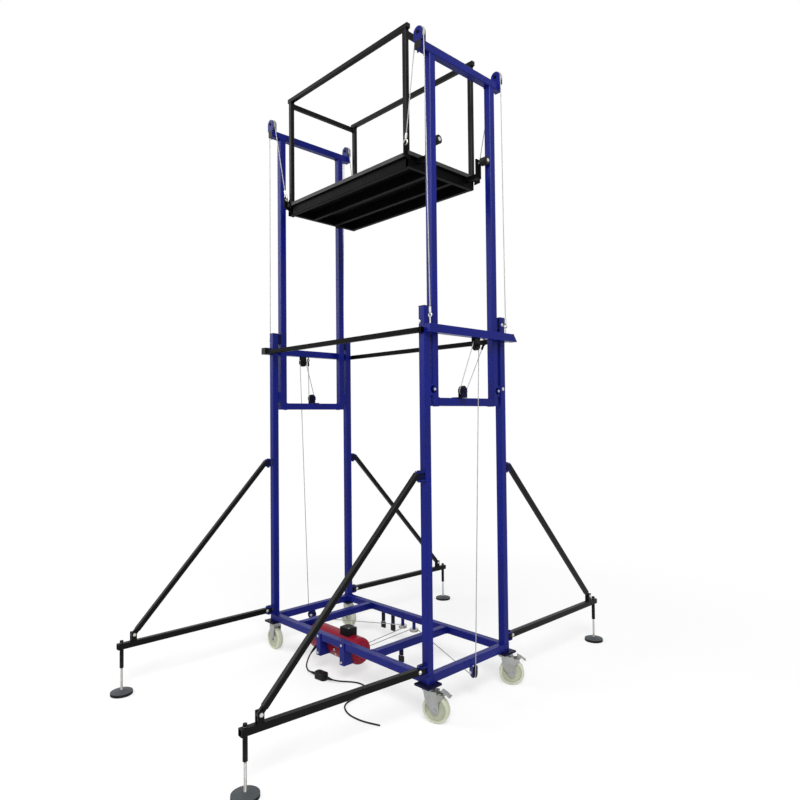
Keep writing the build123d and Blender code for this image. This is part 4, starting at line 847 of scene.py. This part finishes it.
rise_lines, drop_lines = [], []
for way in (-1, 1):
    head = Vector((MAST_X, way * 0.298, 3.257))
    seat = Vector((0.6925, way * 0.291, 1.9095))
    high = head + X * HEAD_R
    rise_lines.append([seat + (high - seat).normalized() * FERRULE, high])
    link = Vector((0.528, way * 0.280, 2.7728))
    meet = touch(Vector((link.x, link.z)), Vector((head.x, head.z)), HEAD_R, 1)
    inner = Vector((meet.x, head.y, meet.y))
    drop_angle = math.atan2(inner.z - head.z, inner.x - head.x)
    hang = (inner - link).normalized()
    drop_lines.append(arc(head, HEAD_R, 0.0, drop_angle, X, Z) + [link + hang * (LINK_R + FERRULE)])

lift_runs = rope("lift_rope_runs", [lift_line("right", 1, right_leaves), lift_line("left", -1, left_leaves)])
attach(lift_runs, "base")
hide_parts("lift_ropes")
for side, line in (("right", right_fall), ("left", half_turned(left_fall))):
    falls = rope(f"{side}_lift_falls", [line])
    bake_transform(falls)
    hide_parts("lift_rope_falls")
rises = rope("platform_rope_rises", rise_lines + [half_turned(line) for line in rise_lines])
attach(rises, "base")
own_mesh(rises)
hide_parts("platform_rope_falls")
drops = rope("platform_rope_hangers", drop_lines + [half_turned(line) for line in drop_lines])
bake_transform(drops)
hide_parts("platform_rope_drops")

DRUM_R = 0.020
COIL_TURNS, COIL_STEPS, COIL_PITCH, COIL_SHIFT = 3, 28, 0.0058, 0.0054
coil_lines = []
for x in (DRUM_X["left"] + COIL_SHIFT, DRUM_X["right"] + COIL_SHIFT):
    line = []
    for i in range(COIL_TURNS * COIL_STEPS + 1):
        angle = -math.pi / 2 - 2 * math.pi * i / COIL_STEPS
        place = Vector((x + COIL_PITCH * i / COIL_STEPS, WINCH_Y, WINCH_Z))
        line.append(place + Y * (DRUM_R * math.cos(angle)) + Z * (DRUM_R * math.sin(angle)))
    coil_lines.append(line)
coils = rope("drum_coils", coil_lines)
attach(coils, "drum")
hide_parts("drum_rope")

# %% [markdown]
# ## Weld beads
# The tubes are welded where they meet, and the paint lies over the ripples. A tree walks round each joint's
# outline and drops a small ball at every step, each sized a little differently from a fixed seed, so that
# they melt into one another as a bead does.

# %% Weld beads
def weld_tree():
    tree, pen, given = new_tree(
        "weld_bead",
        [
            ("Radius", "NodeSocketFloat"),
            ("Pitch", "NodeSocketFloat"),
            ("Seed", "NodeSocketInt"),
            ("Finish", "NodeSocketMaterial"),
        ],
    )
    line = pen.node("GeometryNodeMeshToCurve", {}, {"Mesh": given["Geometry"]})
    line = pen.node("GeometryNodeResampleCurve", {"mode": "LENGTH"}, {"Curve": line, "Length": given["Pitch"]})
    ball = pen.node("GeometryNodeMeshIcoSphere", {}, {"Radius": given["Radius"], "Subdivisions": 2})
    size = pen.node(
        "FunctionNodeRandomValue", {"data_type": "FLOAT"}, {2: 0.82, 3: 1.15, "Seed": given["Seed"]}, out=1
    )
    beads = pen.node(
        "GeometryNodeInstanceOnPoints", {}, {"Points": line, "Instance": ball, "Scale": size}
    )
    real = pen.node("GeometryNodeRealizeInstances", {}, {"Geometry": beads})
    smooth = pen.node("GeometryNodeSetShadeSmooth", {}, {"Geometry": real, "Shade Smooth": True})
    end_tree(pen, smooth, given["Finish"])
    return tree


weld_bead = weld_tree()


def outline_object(name, loops):
    """A mesh of closed outlines, one per list of corners."""
    corners, edges = [], []
    for loop in loops:
        first = len(corners)
        corners += [tuple(p) for p in loop]
        edges += [(first + i, first + (i + 1) % len(loop)) for i in range(len(loop))]
    data = bpy.data.meshes.new(name)
    data.from_pydata(corners, edges, [])
    return bpy.data.objects.new(name, data)


def square_loop(centre, flat, rise, half):
    """The outline of a square tube's end."""
    return [
        Vector(centre) + flat * (a * half) + rise * (b * half) for a, b in ((-1, -1), (1, -1), (1, 1), (-1, 1))
    ]


HALF, WELD_SEED = 0.020, 7
RAIL_X, RAIL_Y, RAIL_HALF = 0.504, 0.251, 0.0125
RAIL_END_Y, RAIL_Z, RAIL_TOP_Z = 0.2383, 3.3395, 3.3588
FRAME_BEAD, RAIL_BEAD = 0.0026, 0.0018
TUBE_END_Y, TUBE_Z, POST_FOOT_Z = 0.2695, 0.195, 0.2155
TOP_BEAM_X, TOP_BEAM_Z = 0.6730, 1.835
MAST_BEAM_Y, MAST_BEAM_Z, MAST_POST_Y, MAST_TOP_Z = 0.2095, 1.490, 0.230, 3.1755
base_loops, mast_loops, rail_loops = [], [], []
for sx in (-1, 1):
    for sy in (-1, 1):
        base_loops.append(square_loop((sx * POST_X, sy * POST_Y, POST_FOOT_Z), X, Y, HALF))
        base_loops.append(square_loop((sx * TOP_BEAM_X, sy * POST_Y, TOP_BEAM_Z), Y, Z, HALF))
        rail_loops.append(square_loop((sx * RAIL_X, sy * RAIL_Y, RAIL_TOP_Z), X, Y, RAIL_HALF))
        rail_loops.append(square_loop((sx * RAIL_X, sy * RAIL_END_Y, RAIL_Z), X, Z, RAIL_HALF))
    mast_loops.append([])
    for sy in (-1, 1):
        mast_loops[-1].append(square_loop((sx * MAST_X, sy * MAST_BEAM_Y, MAST_BEAM_Z), X, Z, HALF))
        mast_loops[-1].append(square_loop((sx * MAST_X, sy * MAST_POST_Y, MAST_TOP_Z), X, Y, HALF))
for x in (-POST_X, -0.410, 0.245, POST_X):
    for y in (-TUBE_END_Y, TUBE_END_Y):
        base_loops.append(square_loop((x, y, TUBE_Z), X, Z, HALF))


def weld(name, loops, body, material, radius):
    values = {"Radius": radius, "Pitch": radius * 1.15, "Seed": WELD_SEED, "Finish": material}
    piece = grown(name, outline_object(name + "_paths", loops), weld_bead, values)
    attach(piece, body)


weld("frame_welds", base_loops, "base", blue_paint, FRAME_BEAD)
weld("left_mast_welds", mast_loops[0], "left_mast", blue_paint, FRAME_BEAD)
weld("right_mast_welds", mast_loops[1], "right_mast", blue_paint, FRAME_BEAD)
weld("rail_welds", rail_loops, "platform", black_paint, RAIL_BEAD)

# %% [markdown]
# ## Screws, nuts and washers
# Small fasteners repeat all over the lift: deck screws, cover bolts on the winch, nuts under the hinge
# pins, bolts on posts and arms. One tree sets a washer and a chamfered head on each point, standing along
# the direction stored with the point. Six sides make a nut, twenty a screw head.

# %% The fastener tree
HEX, ROUND = 6, 20


def fastener_tree():
    tree, pen, given = new_tree(
        "fastener",
        [
            ("Sides", "NodeSocketInt"),
            ("Radius", "NodeSocketFloat"),
            ("Height", "NodeSocketFloat"),
            ("Washer", "NodeSocketFloat"),
            ("Finish", "NodeSocketMaterial"),
        ],
    )
    shank = pen.node(
        "GeometryNodeMeshCylinder",
        {"fill_type": "NGON"},
        {"Vertices": given["Sides"], "Radius": given["Radius"], "Depth": given["Height"] * 0.7},
    )
    shank = pen.node(
        "GeometryNodeTransform",
        {},
        {"Geometry": shank, "Translation": pen.node("ShaderNodeCombineXYZ", {}, {"Z": given["Height"] * 0.35})},
    )
    crown = pen.node(
        "GeometryNodeMeshCone",
        {"fill_type": "NGON"},
        {
            "Vertices": given["Sides"],
            "Radius Top": given["Radius"] * 0.8,
            "Radius Bottom": given["Radius"],
            "Depth": given["Height"] * 0.3,
        },
    )
    crown = pen.node(
        "GeometryNodeTransform",
        {},
        {"Geometry": crown, "Translation": pen.node("ShaderNodeCombineXYZ", {}, {"Z": given["Height"] * 0.7})},
    )
    washer = pen.node(
        "GeometryNodeMeshCylinder",
        {"fill_type": "NGON"},
        {"Vertices": ROUND, "Radius": given["Radius"] * 1.45, "Depth": given["Washer"]},
    )
    parts = pen.node("GeometryNodeJoinGeometry")
    join = parts.socket.node
    for piece in (shank, crown, washer):
        tree.links.new(piece.socket, join.inputs[0])
    facing = pen.node("GeometryNodeInputNamedAttribute", {"data_type": "FLOAT_VECTOR"}, {"Name": "facing"})
    turn = pen.node("FunctionNodeAlignRotationToVector", {"axis": "Z"}, {"Vector": facing})
    placed = pen.node(
        "GeometryNodeInstanceOnPoints",
        {},
        {"Points": given["Geometry"], "Instance": parts, "Rotation": turn},
    )
    end_tree(pen, placed, given["Finish"])
    return tree


fastener = fastener_tree()


def fasten(name, spots, body, material, sides, radius, height, washer=0.0008):
    """Set a fastener at each (place, direction)."""
    data = bpy.data.meshes.new(name + "_spots")
    data.from_pydata([tuple(place) for place, _ in spots], [], [])
    facing = data.attributes.new("facing", "FLOAT_VECTOR", "POINT")
    for item, (_, way) in zip(facing.data, spots):
        item.vector = way
    source = bpy.data.objects.new(name + "_spots", data)
    values = {"Sides": sides, "Radius": radius, "Height": height, "Washer": washer, "Finish": material}
    piece = grown(name, source, fastener, values)
    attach(piece, body)


DECK_TOP = 2.735
deck_spots = [
    (Vector((x, y, DECK_TOP)), Z)
    for y in (-0.2375, -0.085, 0.085, 0.2375)
    for x in (-0.42, -0.21, 0.0, 0.21, 0.42)
]
fasten("deck_screws", deck_spots, "platform", zinc, ROUND, 0.0045, 0.0012, 0.0004)
GEARBOX_FACE, COVER_BOLTS, COVER_R = 0.058, 6, 0.040
cover_spots = []
for i in range(COVER_BOLTS):
    angle = 2 * math.pi * (i + 0.5) / COVER_BOLTS
    place = Vector((GEARBOX_FACE, WINCH_Y, WINCH_Z))
    place += Y * (COVER_R * math.cos(angle)) + Z * (COVER_R * math.sin(angle))
    cover_spots.append((place, X))
fasten("gearbox_bolts", cover_spots, "base", red_paint, HEX, 0.005, 0.004)
box_spots = [(Vector((x, y, 0.250)), Z) for x in (-0.089, -0.026) for y in (-0.215, -0.169)]
fasten("box_screws", box_spots, "base", zinc, ROUND, 0.003, 0.0018, 0.0004)
HINGE_Y = 0.335
hinge_spots = []
for sx in (-1, 1):
    for sy in (-1, 1):
        for under in (0.2234, 1.1205):
            hinge_spots.append((Vector((sx * POST_X, sy * HINGE_Y, under)), -Z))
fasten("hinge_nuts", hinge_spots, "base", black_paint, HEX, 0.0088, 0.007)
post_spots = [
    (Vector((0.639, -0.310, 1.870)), -Y),
    (Vector((0.6725, 0.288, 1.562)), X),
    (Vector((0.6725, 0.287, 1.905)), X),
]
BOLT_R, BOLT_HEAD = 0.0065, 0.005
fasten("post_bolts", post_spots, "base", zinc, HEX, BOLT_R, BOLT_HEAD)
KNOB = 0.007
shoe_spots = [(Vector((0.6695, y, 1.550)), X) for y in (-0.2455, 0.2455)]
fasten("shoe_knobs", shoe_spots, "right_mast", blue_paint, ROUND, 0.012, KNOB, 0.0)
shoe_spots = [(place + X * KNOB, way) for place, way in shoe_spots]
fasten("shoe_bolts", shoe_spots, "right_mast", zinc, HEX, 0.0045, 0.004)
SCREW_SINK = 0.0002
motor_spots = []
for x, angle in ((-0.096, 187.2), (-0.093, 208.4)):
    way = Y * math.cos(math.radians(angle)) + Z * math.sin(math.radians(angle))
    motor_spots.append((Vector((x, WINCH_Y, WINCH_Z)) + way * (WINCH_R - SCREW_SINK), way))
fasten("motor_screws", motor_spots, "base", zinc, ROUND, 0.005, 0.004)
ARM_TURN = {"front_right": 4.9, "back_right": 0.4, "front_left": 0.9, "back_left": 1.8}
ARM_Z, ARM_HALF, ARM_BOLT_OUT = 0.245, 0.015, 0.018
for corner_name in CORNERS:
    sx = 1 if "right" in corner_name else -1
    sy = 1 if "back" in corner_name else -1
    heading = math.radians(sy * 90 - ARM_TURN[corner_name])
    along = Vector((math.cos(heading), math.sin(heading), 0.0))
    beside = Vector((sy * along.y, -sy * along.x, 0.0))
    place = Vector((sx * POST_X, sy * HINGE_Y, ARM_Z)) + along * ARM_BOLT_OUT + beside * ARM_HALF
    spots = [(place, beside)]
    fasten(f"arm_bolt_{corner_name}", spots, f"arm_{corner_name}", zinc, HEX, BOLT_R, BOLT_HEAD)

# %% [markdown]
# ## Plugs in the open tube ends
# The long top rails are open tubes, closed by black plastic plugs with a thin rounded flange: small boxes
# with softened edges. The left top beam's front end wears a thin black boot, cut away round the tie bar.

# %% Tube plugs
def plugs(name, spots, half, thick, body):
    """Rounded square flanges: each spot is a centre, an outward way and the direction of one side."""
    mesh = bmesh.new()
    for centre, way, flat in spots:
        rise = way.cross(flat)
        corners = square_loop(centre, flat, rise, half)
        low = [mesh.verts.new(p) for p in corners]
        high = [mesh.verts.new(p + way * thick) for p in corners]
        mesh.faces.new(list(reversed(low)))
        mesh.faces.new(high)
        for i in range(4):
            j = (i + 1) % 4
            mesh.faces.new((low[i], low[j], high[j], high[i]))
    bmesh.ops.recalc_face_normals(mesh, faces=mesh.faces)
    bmesh.ops.bevel(mesh, geom=list(mesh.edges), offset=thick * 0.4, segments=2, affect="EDGES", profile=0.5)
    piece = plain_piece(name, mesh, black_nylon)
    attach(piece, body)


PLUG_X, PLUG_Z, PLUG_HALF, PLUG_THICK = 0.5245, 3.3715, 0.0123, 0.003
plug_spots = [(Vector((sx * PLUG_X, sy * RAIL_Y, PLUG_Z)), X * sx, Y) for sx in (-1, 1) for sy in (-1, 1)]
plugs("rail_plugs", plug_spots, PLUG_HALF, PLUG_THICK, "platform")
BOOT_SKIN, BEAM_OUT, BEAM_IN = 0.0006, -0.7125, -0.6725
BOOT_FRONT, BOOT_BACK, TIE_FRONT = -0.3426, -0.3105, -0.3353
BOOT_LOW, BOOT_TOP, TIE_TOP = 1.8144, 1.8556, 1.8412
sleeve = bmesh.new()
profile = (
    (BOOT_FRONT, BOOT_LOW),
    (BOOT_FRONT, BOOT_TOP),
    (BOOT_BACK, BOOT_TOP),
    (BOOT_BACK, TIE_TOP),
    (TIE_FRONT, TIE_TOP),
    (TIE_FRONT, BOOT_LOW),
)
sides = (BEAM_OUT - BOOT_SKIN, BEAM_IN + BOOT_SKIN)
rows = [[sleeve.verts.new((x, y, z)) for y, z in profile] for x in sides]
sleeve.faces.new(rows[0])
sleeve.faces.new(reversed(rows[1]))
for i in range(len(profile)):
    sleeve.faces.new((rows[0][i], rows[1][i], rows[1][i - 1], rows[0][i - 1]))
bmesh.ops.recalc_face_normals(sleeve, faces=sleeve.faces)
beam_boot = plain_piece("beam_boot", sleeve, black_nylon)
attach(beam_boot, "base")
print("plugs set")

# %% [markdown]
# ## Floor and light
# The photograph is a cut-out on white. A pale floor and an even white surround give that, and two big soft
# lamps, the stronger one high at the front right, draw the tube edges out. The background shows white to the
# camera, in reflections and through glass, while its light on the object stays lower.

# %% Floor, world and lamps
FLOOR_HALF = 30.0


def shown_rays(pen):
    """1 for rays that show a surface as it is: straight to the camera, by a reflection or through glass."""
    path = pen.node("ShaderNodeLightPath").socket.node
    names = ("Is Camera Ray", "Is Glossy Ray", "Is Transmission Ray")
    seen, glossy, through = (Wire(pen.tree, path.outputs[name]) for name in names)
    return pen.maths("MAXIMUM", pen.maths("MAXIMUM", seen, glossy), through)


floor_mesh = bpy.data.meshes.new("studio_floor")
floor_mesh.from_pydata(square_loop((0, 0, 0), X, Y, FLOOR_HALF), [], [(0, 1, 2, 3)])
floor_finish, pen = new_finish("floor_white")
place = pen.node("ShaderNodeTexCoord", out="Object")
away = pen.vectors("LENGTH", place, out=1)
shown = shown_rays(pen)
matt = pen.node("ShaderNodeBsdfDiffuse", {}, {"Color": (0.92, 0.92, 0.92, 1.0)})
lit = pen.node("ShaderNodeEmission", {}, {"Color": (1.0, 1.0, 1.0, 1.0), "Strength": 1.0})
pale = shown * (0.55 + 0.45 * away.ease(1.2, 3.6))
mixed = pen.node("ShaderNodeMixShader", {}, {0: pale, 1: matt, 2: lit})
pen.node("ShaderNodeOutputMaterial", {}, {"Surface": mixed})
floor_mesh.materials.append(floor_finish)
add_piece(bpy.data.objects.new("studio_floor", floor_mesh))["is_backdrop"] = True

world = bpy.data.worlds.new("studio")
world.use_nodes = True
world.node_tree.nodes.clear()
pen = Wire(world.node_tree)
SURROUND = 0.62
shown = shown_rays(pen)
strength = SURROUND + shown * (1.0 - SURROUND)
sky = pen.node("ShaderNodeBackground", {}, {"Color": (1.0, 1.0, 1.0, 1.0), "Strength": strength})
pen.node("ShaderNodeOutputWorld", {}, {"Surface": sky})
bpy.context.scene.world = world


def lamp(name, place, aim, size, watts):
    light = bpy.data.lights.new(name, "AREA")
    light.shape = "DISK"
    light.size = size
    light.energy = watts
    piece = add_piece(bpy.data.objects.new(name, light))
    piece.location = place
    piece.rotation_euler = (Vector(aim) - Vector(place)).to_track_quat("-Z", "Y").to_euler()


lamp("key_lamp", (4.5, -3.5, 6.0), (0, 0, 1.6), 3.5, 420.0)
lamp("fill_lamp", (-5.0, -4.0, 4.0), (0, 0, 1.6), 4.0, 160.0)
bpy.context.scene.view_settings.view_transform = "Standard"
print("floor and light ready")

# %% Finish
low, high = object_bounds()
